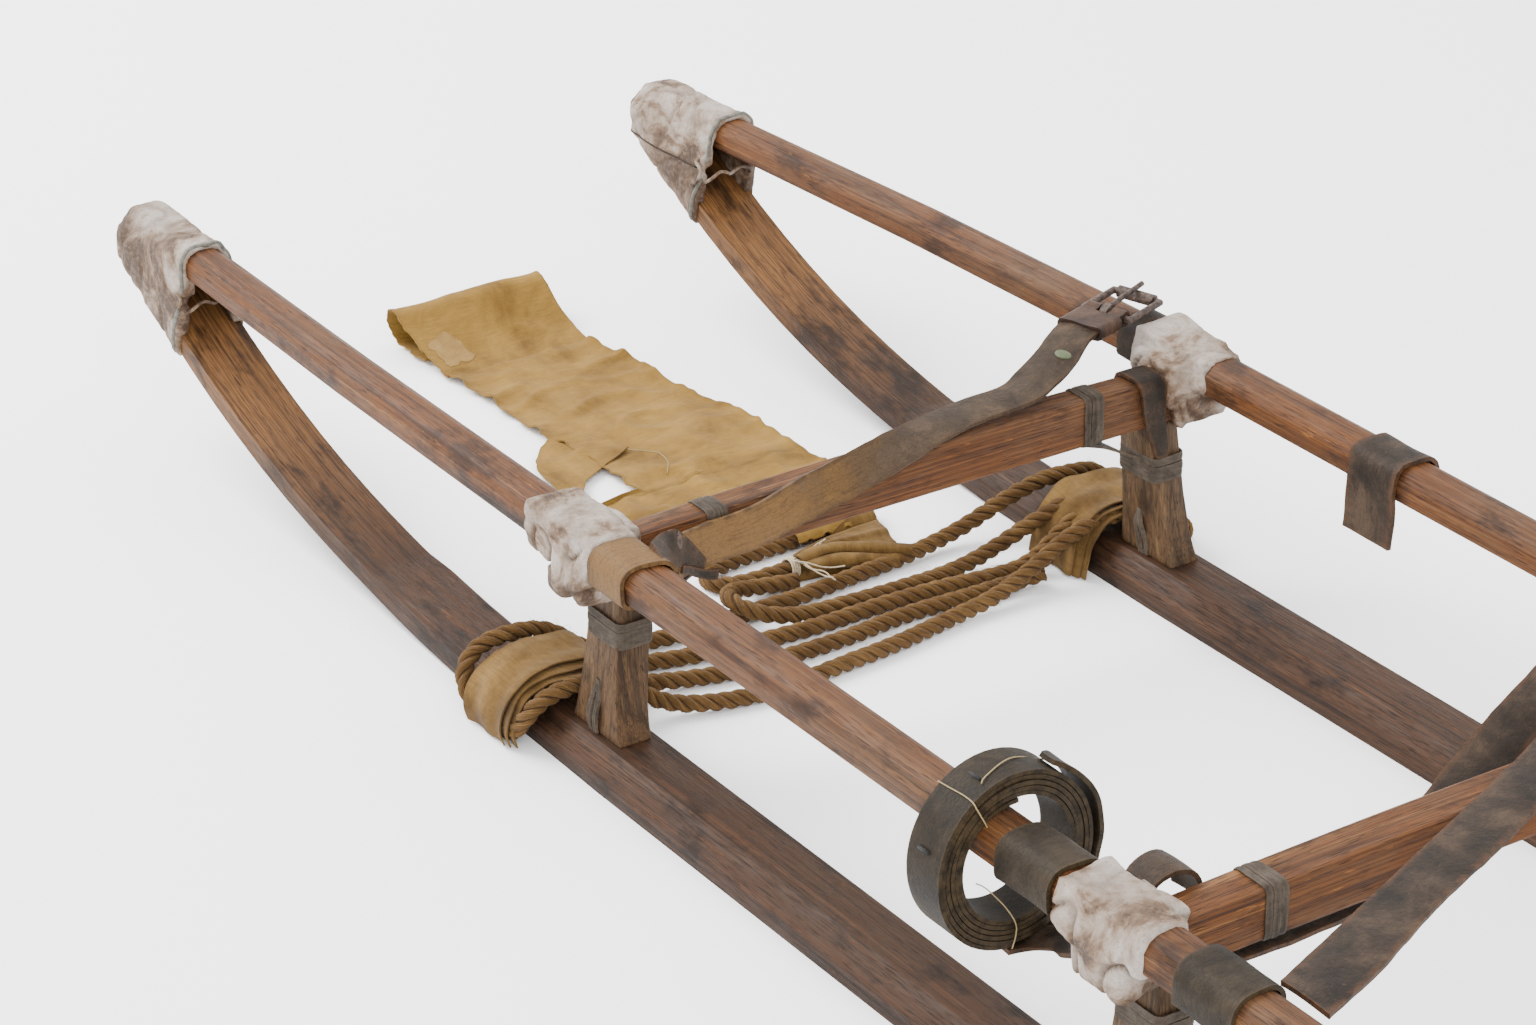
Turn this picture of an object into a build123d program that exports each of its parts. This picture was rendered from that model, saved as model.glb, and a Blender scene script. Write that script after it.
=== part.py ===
"""Dog sled: an ash and hickory frame lashed together with rawhide, about 3.35 m long.

Millimetres. +Y is the way the sled travels, +Z is up and +X is its right side. The origin is
on the ground under the middle of the sled. A station is the rear edge of a pair of feet.
"""
from build123d import *
import math
import os

# ---------------------------------------------------------------- driving dimensions
GAUGE = 432.0            # runner centre line to runner centre line
LENGTH = 3353.0          # over both runner tips
BRIDGES = 5
BRIDGE_PITCH = 525.0
FRONT_OVERHANG = 640.0   # front tip ahead of the first station

RUNNER_W = 58.0
RUNNER_TIP_W = 46.0
RUNNER_T = 25.0          # under the feet
RUNNER_BEND_T = 15.0     # thinned where it is bent up
RUNNER_SIDE = 12.0       # plain side below the long chamfer
RUNNER_FLAT = 33.0       # flat left on top between the chamfers
TAPER_RUN = 300.0        # length over which a runner narrows, ahead of the outermost feet
# each bend: plan length of its first arc, that arc's radius, whole plan length, second radius
FRONT_BEND = (250.0, 1250.0, 515.0, 820.0)
REAR_BEND = (250.0, 1500.0, 513.0, 1200.0)
THIN_RUN = 170.0         # plan length from a bend's start to its thinned part

RAIL_W = 31.0
RAIL_H = 22.5
RAIL_X = 234.5           # rail centre line over the bridges
RAIL_Z = 161.0

UPRIGHT_W = 24.0         # thickness across the sled
UPRIGHT_LEAN = 12.0      # an upright's top is this much nearer the middle than its foot

BRIDGE_TOP = 157.5
BRIDGE_RISE = 4.0        # the arch of a bridge
BRIDGE_SECTION = (15.0, 36.0, 31.5)        # first bridge: rear face, front face, height
BRIDGE_SECTION_BROAD = (9.0, 36.0, 29.5)   # the others

HIDE_T = 3.5             # rawhide boot
THONG_T = 2.0            # flat thong
LEATHER_T = 3.0

FRONT_TIP = LENGTH / 2
REAR_TIP = -LENGTH / 2
STATIONS = [FRONT_TIP - FRONT_OVERHANG - BRIDGE_PITCH * i for i in range(BRIDGES)]
SIDES = (("left", -1), ("right", 1))


def write(name, *solids):
    """One STEP file for one named piece, or for like pieces that don't touch."""
    shape = solids[0] if len(solids) == 1 else Compound(children=list(solids))
    export_step(shape, f"parts/{name}.step")


def block(x0, x1, y0, y1, z0, z1):
    """A box from its six faces."""
    centre = Pos((x0 + x1) / 2, (y0 + y1) / 2, (z0 + z1) / 2)
    return centre * Box(abs(x1 - x0), abs(y1 - y0), abs(z1 - z0))


def section_loft(sections):
    """Ruled loft through closed loops of (x, y, z) points."""
    return loft([make_face(Polyline(*points, close=True)) for points in sections], ruled=True)


def ribbon(edges, thickness, y=STATIONS[0]):
    """A flat strap from rows of both its edges: x, y, z of one, then x, y, z of the other."""
    shift = Vector(0, y, 0)
    near = [Vector(*row[:3]) + shift for row in edges]
    far = [Vector(*row[3:]) + shift for row in edges]
    middles = [(a + b) * 0.5 for a, b in zip(near, far)]
    runs = [(b - a).normalized() for a, b in zip(middles, middles[1:])]
    loops = []
    for i, (a, b) in enumerate(zip(near, far)):
        before, after = runs[max(i - 1, 0)], runs[min(i, len(runs) - 1)]
        mitre = math.cos(math.radians(before.get_angle(after)) / 2)
        offset = (before + after).cross(b - a).normalized() * (thickness / 2 / mitre)
        loops.append([a + offset, b + offset, b - offset, a - offset])
    return section_loft(loops)


# ---------------------------------------------------------------- runners
def bend_point(way, run, offset):
    """(y, z) at a plan distance into a bend, offset inward from the sole. way: +1 front, -1 rear."""
    run_1, r_1, _, r_2 = FRONT_BEND if way > 0 else REAR_BEND
    start = FRONT_TIP - FRONT_BEND[2] if way > 0 else REAR_TIP + REAR_BEND[2]
    if run <= run_1:
        sine = run / r_1
        rise = r_1 * (1 - math.sqrt(1 - sine ** 2))
    else:
        sine = run_1 / r_1 + (run - run_1) / r_2
        joint = math.sqrt(1 - (run_1 / r_1) ** 2)
        rise = r_1 * (1 - joint) + r_2 * (joint - math.sqrt(1 - sine ** 2))
    return (start + way * (run - offset * sine), rise + offset * math.sqrt(1 - sine ** 2))


def bend_edges(way):
    """Edges of one upturned end, from the flat sole round the tip to the flat top."""
    run_1, r_1, run_2, _ = FRONT_BEND if way > 0 else REAR_BEND
    thick = RUNNER_BEND_T
    sole = [bend_point(way, run, 0) for run in (0, run_1 / 2, run_1, (run_1 + run_2) / 2, run_2)]
    top = [bend_point(way, run, thick) for run in
           (run_2, (run_1 + run_2) / 2, run_1, (run_1 + THIN_RUN) / 2, THIN_RUN)]
    angle = math.asin(THIN_RUN / r_1)
    ramp = (top[4][1] - RUNNER_T) / math.tan(angle / 2)
    ease = (top[4][0] - way * ramp * (1 + math.cos(angle)), RUNNER_T)
    radius = ramp * (1 + math.cos(angle)) / math.sin(angle)
    middle = (ease[0] + way * radius * math.sin(angle / 2), RUNNER_T + radius * (1 - math.cos(angle / 2)))
    ThreePointArc(sole[0], sole[1], sole[2])
    ThreePointArc(sole[2], sole[3], sole[4])
    Line(sole[4], top[0])
    ThreePointArc(top[0], top[1], top[2])
    ThreePointArc(top[2], top[3], top[4])
    ThreePointArc(top[4], middle, ease)
    return sole[0], ease


def runner(side):
    """One runner: flat sole, both ends bent up, narrowed and thinned, chamfered in between."""
    with BuildSketch(Plane.YZ) as profile:
        with BuildLine():
            sole_front, top_front = bend_edges(1)
            sole_rear, top_rear = bend_edges(-1)
            Line(sole_rear, sole_front)
            Line(top_front, top_rear)
        make_face()
    body = extrude(profile.sketch, RUNNER_W / 2, both=True)
    broad, narrow = RUNNER_W / 2, RUNNER_TIP_W / 2
    y_front, y_rear = STATIONS[0], STATIONS[-1] + 54
    plan = [(broad, y_rear), (broad, y_front), (narrow, y_front + TAPER_RUN), (narrow, FRONT_TIP),
            (-narrow, FRONT_TIP), (-narrow, y_front + TAPER_RUN), (-broad, y_front), (-broad, y_rear),
            (-narrow, y_rear - TAPER_RUN), (-narrow, REAR_TIP), (narrow, REAR_TIP),
            (narrow, y_rear - TAPER_RUN)]
    body &= extrude(make_face(Polyline(*[(x, y, 0) for x, y in plan], close=True)), 400, dir=(0, 0, 1))
    slope = (RUNNER_T - RUNNER_SIDE) / ((RUNNER_W - RUNNER_FLAT) / 2)
    for way in (-1, 1):
        inner, outer = way * RUNNER_FLAT / 2, way * (RUNNER_W / 2 + 2)
        loop = [(inner, RUNNER_T), (outer, RUNNER_SIDE - 2 * slope),
                (outer, RUNNER_T + 9), (inner, RUNNER_T + 9)]
        y0, y1 = sole_rear[0], sole_front[0]
        face = make_face(Polyline(*[(x, y0, z) for x, z in loop], close=True))
        body -= extrude(face, y1 - y0, dir=(0, 1, 0))
        for y, radius, turn in ((y1, FRONT_BEND[1], 1), (y0, REAR_BEND[1], -1)):
            face = make_face(Polyline(*[(x, y, z) for x, z in loop], close=True))
            reach = math.degrees(math.asin(FRONT_BEND[0] / radius))
            body -= revolve(face, Axis((0, y, radius), (turn, 0, 0)), reach)
    return Pos(side * GAUGE / 2, 0, 0) * body


# ---------------------------------------------------------------- side rails
# y from the first station, or for the rear from the last; centre x; centre z; width; height
RAIL_FRONT = ((42.0, RAIL_X, RAIL_Z, RAIL_W, RAIL_H), (320.0, 229.0, 157.0, 30.0, 22.0),
              (628.0, 217.0, 151.0, 29.0, 20.0))
RAIL_REAR = ((5.0, RAIL_X, RAIL_Z, RAIL_W, RAIL_H), (-290.0, 230.0, 148.0, 30.0, 22.0),
             (-601.0, 217.0, 117.0, 29.0, 20.0))


def rail_loop(side, y, x, z, w, h, grow=0.0):
    """Cross-section of a rail: flat below, broad facets up to a narrow flat on top."""
    half, low, high = w / 2 + grow, z - h / 2 - grow, z + h / 2 + grow
    loop = [(-half + 2.5, low), (half - 2.5, low), (half, low + 2.5), (half, high - 8),
            (half - 3.5, high - 2.6), (half - 9, high), (-half + 9, high), (-half + 3.5, high - 2.6),
            (-half, high - 8), (-half, low + 2.5)]
    return [(side * x + px, y, pz) for px, pz in loop]


def rail(side):
    """One side rail: straight over the bridges, drawn in and down to both runner tips."""
    rear = [(STATIONS[-1] + y, *rest) for y, *rest in reversed(RAIL_REAR)]
    front = [(STATIONS[0] + y, *rest) for y, *rest in RAIL_FRONT]
    return section_loft([rail_loop(side, *row) for row in rear + front])


# ---------------------------------------------------------------- uprights and bridges
# height above the runner, rear face and front face ahead of the station: a spread foot
UPRIGHT_PROFILE = ((0.0, 0.0, 54.5), (7.0, 4.0, 53.0), (20.0, 8.0, 51.0), (48.0, 12.0, 48.5))


def bridge_section(i):
    return BRIDGE_SECTION if i == 0 else BRIDGE_SECTION_BROAD


def upright_loops(side, i, grow=0.0):
    """Cross-sections of an upright from its foot to the underside of its bridge."""
    top = BRIDGE_TOP - bridge_section(i)[2]
    height = top - RUNNER_T
    half = UPRIGHT_W / 2 + grow
    loops = []
    for up, rear, front in UPRIGHT_PROFILE + ((height, 15.0, 47.0),):
        x = side * (GAUGE / 2 - UPRIGHT_LEAN * up / height)
        y0, y1, z = STATIONS[i] + rear - grow, STATIONS[i] + front + grow, RUNNER_T + up
        loops.append([(x - half, y0, z), (x + half, y0, z), (x + half, y1, z), (x - half, y1, z)])
    return loops


def bridge(i, grow=0.0, x_limit=RAIL_X - RAIL_W / 2):
    """A cross bar with a slight arch, its ends butted to the rails' inner sides."""
    rear, front, height = bridge_section(i)
    top, bottom = BRIDGE_TOP + grow, BRIDGE_TOP - height - grow
    with BuildSketch(Plane.XZ) as profile:
        with BuildLine():
            Line((-x_limit, bottom), (x_limit, bottom))
            Line((x_limit, bottom), (x_limit, top))
            ThreePointArc((x_limit, top), (0, top + BRIDGE_RISE), (-x_limit, top))
            Line((-x_limit, top), (-x_limit, bottom))
        make_face()
    bar = extrude(profile.sketch, (front - rear) / 2 + grow, both=True)
    return Pos(0, STATIONS[i] + (front + rear) / 2, 0) * bar


# ---------------------------------------------------------------- rawhide boots over the tips
# distance back from the runner's tip, and how far the hide rounds in there
BOOT_SECTIONS = ((92.0, 0.0), (44.0, 0.0), (4.0, 0.0), (-5.5, 7.0))
BOOT_EDGE = 3.0          # bevel along the sole
BOOT_SHOULDER = (7.0, 8.0)         # bevel along the top: across and down


def boot(way, side):
    """A sock of rawhide, about a hide thick, over a runner tip and the rail end that rests on it."""
    start = STATIONS[0] if way > 0 else STATIONS[-1]
    reach = FRONT_OVERHANG if way > 0 else start - REAR_TIP
    rail_rows = RAIL_FRONT if way > 0 else RAIL_REAR
    (y_a, x_a, z_a, _, _), (y_b, x_b, z_b, w_b, h_b) = rail_rows[1], rail_rows[2]
    across, down = BOOT_SHOULDER
    loops = []
    for back, nose in BOOT_SECTIONS:
        y = reach - back
        share = (way * y - y_a) / (y_b - y_a)
        rail_x = x_a + (x_b - x_a) * share
        rail_top = z_a + (z_b - z_a) * share + h_b / 2 + HIDE_T
        run = (FRONT_BEND[2] if way > 0 else REAR_BEND[2]) - max(back, 0.0)
        sole = bend_point(way, run, 0)[1] - HIDE_T + nose * 0.6
        deck = bend_point(way, run, RUNNER_BEND_T)[1]
        low = RUNNER_TIP_W / 2 + HIDE_T - nose
        high = w_b / 2 + HIDE_T - nose * 0.5
        top = rail_top - nose * 0.6
        mid = max(deck + 6, sole + 16)
        y_abs = start + way * y
        cx, rx = side * GAUGE / 2, side * rail_x
        edge = sole + BOOT_EDGE
        loops.append([(cx - low + BOOT_EDGE, y_abs, sole), (cx + low - BOOT_EDGE, y_abs, sole),
                      (cx + low, y_abs, edge), (cx + low, y_abs, mid), (rx + high, y_abs, top - down),
                      (rx + high - across, y_abs, top), (rx - high + across, y_abs, top),
                      (rx - high, y_abs, top - down), (cx - low, y_abs, mid), (cx - low, y_abs, edge)])
    return section_loft(loops)


# ---------------------------------------------------------------- joint bindings
BINDING_X = (203.0, RAIL_X + RAIL_W / 2 + 5)
BINDING_Y = (-8.0, 62.0)
BINDING_Z = (122.0, RAIL_Z + RAIL_H / 2 + 4.5)
BINDING_BEVEL = 8.0


def binding(side, i):
    """Rawhide shrunk over the meeting of rail, bridge and upright."""
    (x_in, x_out), (rear, front) = BINDING_X, BINDING_Y
    body = block(side * x_in, side * x_out, STATIONS[i] + rear, STATIONS[i] + front, *BINDING_Z)
    return chamfer(body.edges().filter_by(Axis.Y), BINDING_BEVEL)


# ---------------------------------------------------------------- thong lashings
BRIDGE_LASHING = (138.5, 153.5)    # from the middle of the sled
UPRIGHT_LASHING = (85.0, 104.0)    # above the ground
REACH = 90.0                       # past any piece of a joint


def bridge_lashing(side, i):
    """A flat thong wound round a bridge, about 60 mm in from its end."""
    inner, outer = BRIDGE_LASHING
    y = STATIONS[i]
    ring = bridge(i, THONG_T) & block(side * inner, side * outer, y - REACH, y + REACH, REACH, 2 * REACH)
    return ring - bridge(i)


def upright_lashing(side, i):
    """A flat thong wound round an upright below the bridge."""
    ring = section_loft(upright_loops(side, i, THONG_T))
    x, y = side * GAUGE / 2, STATIONS[i]
    ring &= block(x - REACH, x + REACH, y - REACH, y + REACH, *UPRIGHT_LASHING)
    return ring - section_loft(upright_loops(side, i))


def strut_thong(side, i):
    """A flat thong drawn from under the bridge down to the upright's lashing."""
    top = BRIDGE_TOP - bridge_section(i)[2] - 2 * THONG_T
    return ribbon([(side * 149, 21, top, side * 149, 30, top), (side * 192, 21, 101, side * 192, 30, 101)],
                  THONG_T, STATIONS[i])


CROSSED_JOINT = (-1, 1)    # where a strap passes instead


def foot_thong(side, i, face):
    """A thong through an upright's foot and down to the runner. face: +1 outer, -1 inner."""
    x_foot, x_up = GAUGE / 2 + face * 13.2, GAUGE / 2 - 4 + face * 13.2
    return ribbon([(side * x_foot, 24, 26, side * x_foot, 34, 26),
                   (side * x_up, 24, 58, side * x_up, 34, 58)], THONG_T, STATIONS[i])


# ---------------------------------------------------------------- front strap and its buckle
BUCKLE_AT = (220.0, STATIONS[0] + 82.0, 183.0)
BUCKLE_TURN = 18.8       # degrees from +X towards +Y of the way its tongue points
BUCKLE_W, BUCKLE_L = 36.0, 36.0    # between the centre lines of its sides and of its bars
WIRE_R = 2.4
ROLLER_R = 4.2
TONGUE_R = 1.8
TONGUE_EYE_R = 2.9
TONGUE_HALF = 2.6        # half the width of the tongue's eye
BUCKLE_PLACE = Location(BUCKLE_AT, (0, 0, BUCKLE_TURN))


def rod(a, b, radius):
    """A round bar between two points."""
    a, b = Vector(*a), Vector(*b)
    return Solid.make_cylinder(radius, (b - a).length, Plane(origin=a, z_dir=b - a))


def buckle_frame():
    """Square iron buckle with a roller on its far bar; the rear bar carries the tongue."""
    w, l = BUCKLE_W / 2, BUCKLE_L / 2
    frame = rod((-l, -w, 0), (-l, w, 0), WIRE_R) + rod((l, -w, 0), (l, w, 0), WIRE_R)
    for y in (-w, w):
        frame += rod((-l, y, 0), (l, y, 0), WIRE_R)
        for x in (-l, l):
            frame += Pos(x, y, 0) * Sphere(WIRE_R)
    frame += rod((l, -w + 4, 0), (l, w - 4, 0), ROLLER_R)
    return BUCKLE_PLACE * frame


def buckle_tongue():
    """A bar with an eye round the rear bar; its tip lies on the roller."""
    l = BUCKLE_L / 2
    eye = rod((-l, -TONGUE_HALF, 0), (-l, TONGUE_HALF, 0), TONGUE_EYE_R + 2 * TONGUE_R)
    lift = ROLLER_R + TONGUE_R + 0.3
    bar = rod((-l, 0, TONGUE_EYE_R + TONGUE_R * 0.6), (l + 6, 0, lift + 0.9), TONGUE_R)
    tongue = eye + bar - rod((-l, -9, 0), (-l, 9, 0), TONGUE_EYE_R)
    return BUCKLE_PLACE * tongue


# edges of the strap from the left rail to the buckle, ahead of the first station: front or upper, then rear
FRONT_STRAP = (
    (-213, -26, 167, -213, -26, 139), (-199, -13, 159, -198, -13, 130), (-178, 4, 156, -175, 4, 127),
    (-156, 11.2, 156, -153, 11.2, 127), (-131, 11.3, 157, -127, 11.3, 128), (-109, 11.6, 161, -105, 11.4, 131),
    (-85, 13.2, 167, -84, 9, 137), (-61, 15.5, 170, -60, 6, 144), (-20, 25.5, 171, -18, 3.5, 156),
    (22, 37, 169, 24, 11, 164), (60, 44, 168, 62, 17, 166), (91, 44, 170, 99, 18, 168),
    (115, 54, 173, 125, 27, 171), (138, 65, 177, 149, 38, 176.5), (162.4, 77.4, 183, 171.6, 50.5, 183),
    (189.9, 86.7, 183, 199, 59.9, 183))
STRAP_TAB = ((-197, -17, 160, -192, -15, 139), (-178, -1, 158, -175, -1, 132), (-154, 7.4, 153, -152, 7.4, 128))
SHORT_STRAP = tuple((x, -152, z, x, -195, z) for x, z in (
    (252, 150), (252, 165), (248, 171.5), (242, 174), (227, 174), (221, 171.5), (217.3, 165), (217.3, 142),
    (216, 118)))
CROSS_STRAP_OVER = (
    (-214, -599, 168, -214, -636, 168), (-153, -574, 167, -164, -617, 167), (-79, -543, 165, -95, -584, 165),
    (-10, -514, 163, -14, -551, 163), (66, -483, 164, 60, -519, 164), (140, -450, 167, 150, -484, 167),
    (214, -423, 169, 214, -459, 169))
CROSS_STRAP_UNDER = (
    (-187, -485, 121, -187, -514, 121), (-150, -484, 119, -150, -514, 119),
    (-100, -481, 117, -100, -512, 118), (-50, -474, 119, -52, -507, 120),
    (-5, -459, 124, -4, -494, 124), (40, -444, 140, 48, -472, 132),
    (95, -425, 152, 104, -450, 144), (155, -403, 159, 162, -430, 153), (214, -384, 164, 214, -412, 160))
STRAP_END_2 = ((-201, -470, 166, -201, -484, 166), (-192, -468, 168, -191, -484, 168),
               (-180, -466, 164, -178, -482, 163), (-172, -464, 153, -170, -480, 152))
COIL_TAIL = ((-228, -366, 84, -228, -395, 84), (-210, -368, 84, -217, -398, 84),
             (-200, -386, 88, -215, -414, 91), (-201, -425, 97, -222, -432, 100),
             (-204, -448, 108, -227, -449, 110), (-206, -467, 118, -229, -467, 118))
# the roll's outer end, standing off it up its inner side
COIL_END = tuple((x, -366, z, x, -395, z) for x, z in (
    (-198, 91), (-181, 101), (-169, 117), (-163, 136), (-163, 156), (-170, 175), (-182, 190), (-197, 201)))
END_LEATHER_X = (181.0, 202.5)
END_TONGUE = ((189, 12.6, 127.6, 202, 12.6, 127.6), (201, 9.6, 104, 205, 9.6, 104))


def rail_wrap(side, rear, front, slant=0.0):
    """A leather band round a rail, between two distances ahead of the first station."""
    y = STATIONS[0]
    low, high = RAIL_Z - RAIL_H, RAIL_Z + RAIL_H
    x_in, x_out = side * (RAIL_X - RAIL_W), side * (RAIL_X + RAIL_W)
    rows = [(STATIONS[-1], *RAIL_FRONT[0][1:])] + [(y + ahead, *rest) for ahead, *rest in RAIL_FRONT[:2]]
    outer, inner = (section_loft([rail_loop(side, *row, grow=grow) for row in rows]) for grow in (LEATHER_T, 0.0))
    face = make_face(Polyline((x_in, y + rear, low), (x_out, y + rear + slant, low),
                              (x_out, y + front + slant, low), (x_in, y + front, low), close=True))
    return (outer - inner) & extrude(face, high - low, dir=(0, 0, 1))


# a long strap rolled up and hung on the left rail: centre x, z; its rear and front faces; inner radius
COIL_CENTRE = (-224.0, 143.0)
COIL_Y = (-395.0, -366.0)
COIL_INNER = 35.5
COIL_PITCH = 3.6
COIL_HALF_TURNS = 9


def strap_coil():
    """The roll: half circles, each wider by half a pitch than the one before."""
    (x, z), (rear, front) = COIL_CENTRE, COIL_Y
    steps = range(COIL_HALF_TURNS + 1)
    reach = [COIL_INNER + k * COIL_PITCH / 2 for k in steps]
    arcs = []
    for grow in (0.0, LEATHER_T):
        ends = [((-1) ** k * (r + grow)) for k, r in enumerate(reach)]
        for k, (a, b) in enumerate(zip(ends, ends[1:])):
            radius = abs(b - a) / 2
            arcs.append(ThreePointArc((a, 0), ((a + b) / 2, (-1) ** k * radius), (b, 0)))
    last = (-1) ** COIL_HALF_TURNS
    arcs.append(Line((COIL_INNER, 0), (COIL_INNER + LEATHER_T, 0)))
    arcs.append(Line((last * reach[-1], 0), (last * (reach[-1] + LEATHER_T), 0)))
    face = Plane((x, STATIONS[0] + front, z), x_dir=(0, 0, 1), z_dir=(0, -1, 0)) * make_face(arcs)
    return extrude(face, front - rear, dir=(0, -1, 0))


def end_leather():
    """A patch folded over the first bridge's right end, its tongue lying down the upright."""
    inner, outer = END_LEATHER_X
    y = STATIONS[0]
    patch = bridge(0, LEATHER_T, outer)
    patch &= block(inner, outer, y, y + REACH, BRIDGE_TOP - BRIDGE_SECTION[2], 2 * REACH)
    return patch - bridge(0) + ribbon(END_TONGUE, THONG_T)


KEEPER_X = (-51.0, -27.0)          # along the buckle, from its middle
KEEPER_W, KEEPER_H = 35.0, 10.0


def strap_keeper():
    """A leather loop sewn round the strap behind the buckle, and the fold that holds its rear bar."""
    x0, x1 = KEEPER_X
    w, h, t = KEEPER_W / 2, KEEPER_H / 2, LEATHER_T
    loop = block(x0, x1, -w, w, -h, h) - block(x0 - t, x1 + t, -w + t, w - t, -h + t, h - t)
    bar = -BUCKLE_L / 2
    reach = WIRE_R + t
    for side in (-1, 1):
        y0, y1 = side * (TONGUE_HALF + 1.4), side * (BUCKLE_W / 2 - WIRE_R - 0.3)
        fold = rod((bar, y0, 0), (bar, y1, 0), reach) - rod((bar, 2 * y0, 0), (bar, 2 * y1, 0), WIRE_R)
        fold -= rod((bar, 0, 0), (bar, y0 + side * 0.001, 0), WIRE_R) + rod((bar, 0, 0), (bar, y1, 0), WIRE_R)
        loop += fold
        loop += block(x1 - 1, bar - WIRE_R - 0.6, y0, y1, WIRE_R * 0.6, h)
        loop += block(x1 - 1, bar - WIRE_R - 0.6, y0, y1, -h, -WIRE_R * 0.6)
    return BUCKLE_PLACE * loop


# ---------------------------------------------------------------- rope, its sleeves and the canvas belt
ROPE_R = 6.0
# the trace: one rope taken to and fro between the runners and round the outside of each.
# x, y ahead of the first station, z
TRACE = (
    (150, 68, 9), (122, 73, 6.3), (84, 74, 6.3), (40, 76, 6.3), (-8, 70, 6.3), (-52, 70.5, 6.3), (-96, 72, 6.3),
    (-134, 84, 6.3), (-166, 88, 12), (-189, 85, 34), (-214, 84, 39), (-236, 84, 38), (-248, 86, 33),
    (-256, 92, 25), (-257, 104, 20.5), (-256, 116, 25), (-248, 122, 33), (-236, 124, 38), (-212, 124, 39),
    (-188, 124, 33), (-166, 122, 12), (-140, 116, 6.3), (-108, 106, 6.3), (-60, 98, 6.3), (-14, 94, 6.3),
    (36, 96, 6.3), (84, 94, 6.3), (118, 88, 6.3), (150, 84, 8), (176, 83, 27), (194, 83, 38), (222, 83, 39),
    (242, 85, 35), (255, 86, 23), (257, 80, 11), (257, 66, 6.3), (257, 52, 11), (255, 47, 24), (243, 52, 35),
    (222, 62, 39), (192, 66, 38), (168, 68, 30), (140, 64, 19), (104, 58, 9), (62, 54, 6.3), (14, 45, 6.3),
    (-34, 42, 6.3), (-82, 36, 6.3), (-128, 44, 6.3), (-162, 58, 10), (-184, 64, 31), (-208, 64, 39),
    (-236, 64, 38), (-249, 65, 32), (-257, 69, 20), (-257, 80, 9), (-257, 97, 6.3), (-257, 115, 6.4),
    (-257, 131, 9), (-257, 142, 20), (-249, 146, 32), (-236, 147, 38), (-208, 146, 39), (-186, 146, 31),
    (-164, 146, 10), (-134, 142, 6.3), (-96, 134, 6.3), (-52, 136, 6.3), (-4, 135, 6.3), (44, 140, 6.3),
    (92, 144, 6.3), (140, 150, 10), (172, 142, 28), (196, 134, 40), (220, 130, 41), (241, 134, 36),
    (255, 137, 24), (257, 131, 11), (257, 118, 6.3), (257, 105, 11), (255, 99, 24), (241, 98, 36),
    (220, 98, 39), (192, 99, 38), (168, 106, 26), (140, 112, 11), (104, 108, 6.3), (62, 108, 6.4),
    (20, 110, 6.3), (-20, 112, 7), (-48, 120, 14), (-58, 138, 20), (-44, 156, 14), (-14, 160, 7), (12, 155, 6.3))
# the becket: a bight of the same rope whose two legs go into the belt's gathered end
BECKET = ((78, 208, 8), (44, 206, 6.3), (12, 205, 6.3), (-16, 203, 6.3), (-34, 198, 6.3), (-42, 187, 6.3),
          (-34, 176, 6.3), (-16, 171, 7), (14, 169, 9), (44, 162, 8), (74, 160, 6.3))
TIE_AT = (14.0, 169.0, 8.9)
TIE_W, TIE_T = 6.0, 2.2


def cord(route, radius):
    """A round tube along straight runs joined by arcs as large as the runs allow."""
    points = [Vector(x, STATIONS[0] + y, z) for x, y, z in route]
    runs = [b - a for a, b in zip(points, points[1:])]
    radii = []
    for before, after in zip(runs, runs[1:]):
        half_turn = math.radians(before.get_angle(after)) / 2
        radii.append(0.45 * min(before.length, after.length) / math.tan(half_turn))
    path = FilletPolyline(*points, radius=radii)
    tube = sweep(Plane(origin=path @ 0, z_dir=path % 0) * Circle(radius), path=path)
    expected = math.pi * radius ** 2 * path.length
    print(f"cord {path.length:.0f} mm, arcs {min(radii):.0f} to {max(radii):.0f} mm,",
          f"volume {tube.volume / expected:.3f} of section times length")
    return tube


# canvas wrapped round rope and runner: the outline from the ground inside over to the outside, then back
SLEEVE_OUTLINE = ((172, 0), (178, 30), (194, 47), (240, 47), (260, 36), (267, 14), (265, 0),
                  (247, 0), (247, 14), (234, 27), (198, 27), (185, 14), (185, 0))
SLEEVES = (("left", -1, 74.0, 122.0), ("right", 1, 60.0, 112.0))


def rope_sleeve(side, rear, front):
    """A canvas chafing sleeve, as one arch over the runner."""
    y = STATIONS[0]
    face = make_face(Polyline(*[(side * x, y + rear, z) for x, z in SLEEVE_OUTLINE], close=True))
    return extrude(face, front - rear, dir=(0, 1, 0))


CANVAS_T = 3.0
# y ahead of the first station, left edge, right edge
BELT = ((640, -18, 103), (612, -18, 105), (562, -15, 108), (522, -12, 114), (480, -12, 116), (442, -11, 120),
        (413, -8, 127), (384, -5, 130), (356, -4, 132), (332, -1, 132), (328, -48, 132), (303, -44, 131),
        (262, -30, 128), (214, 30, 112))
# the side folded back over the belt, and the strip of it that runs back to the belt: x, y
FLAP = ((-46, 398), (-38, 412), (-24, 430), (-15, 437), (8, 437), (17, 428), (26, 412), (27, 392), (-1, 381),
        (-25, 366), (-40, 344), (-40, 318), (-50, 318), (-55, 330), (-53, 344), (-50, 371))
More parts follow.
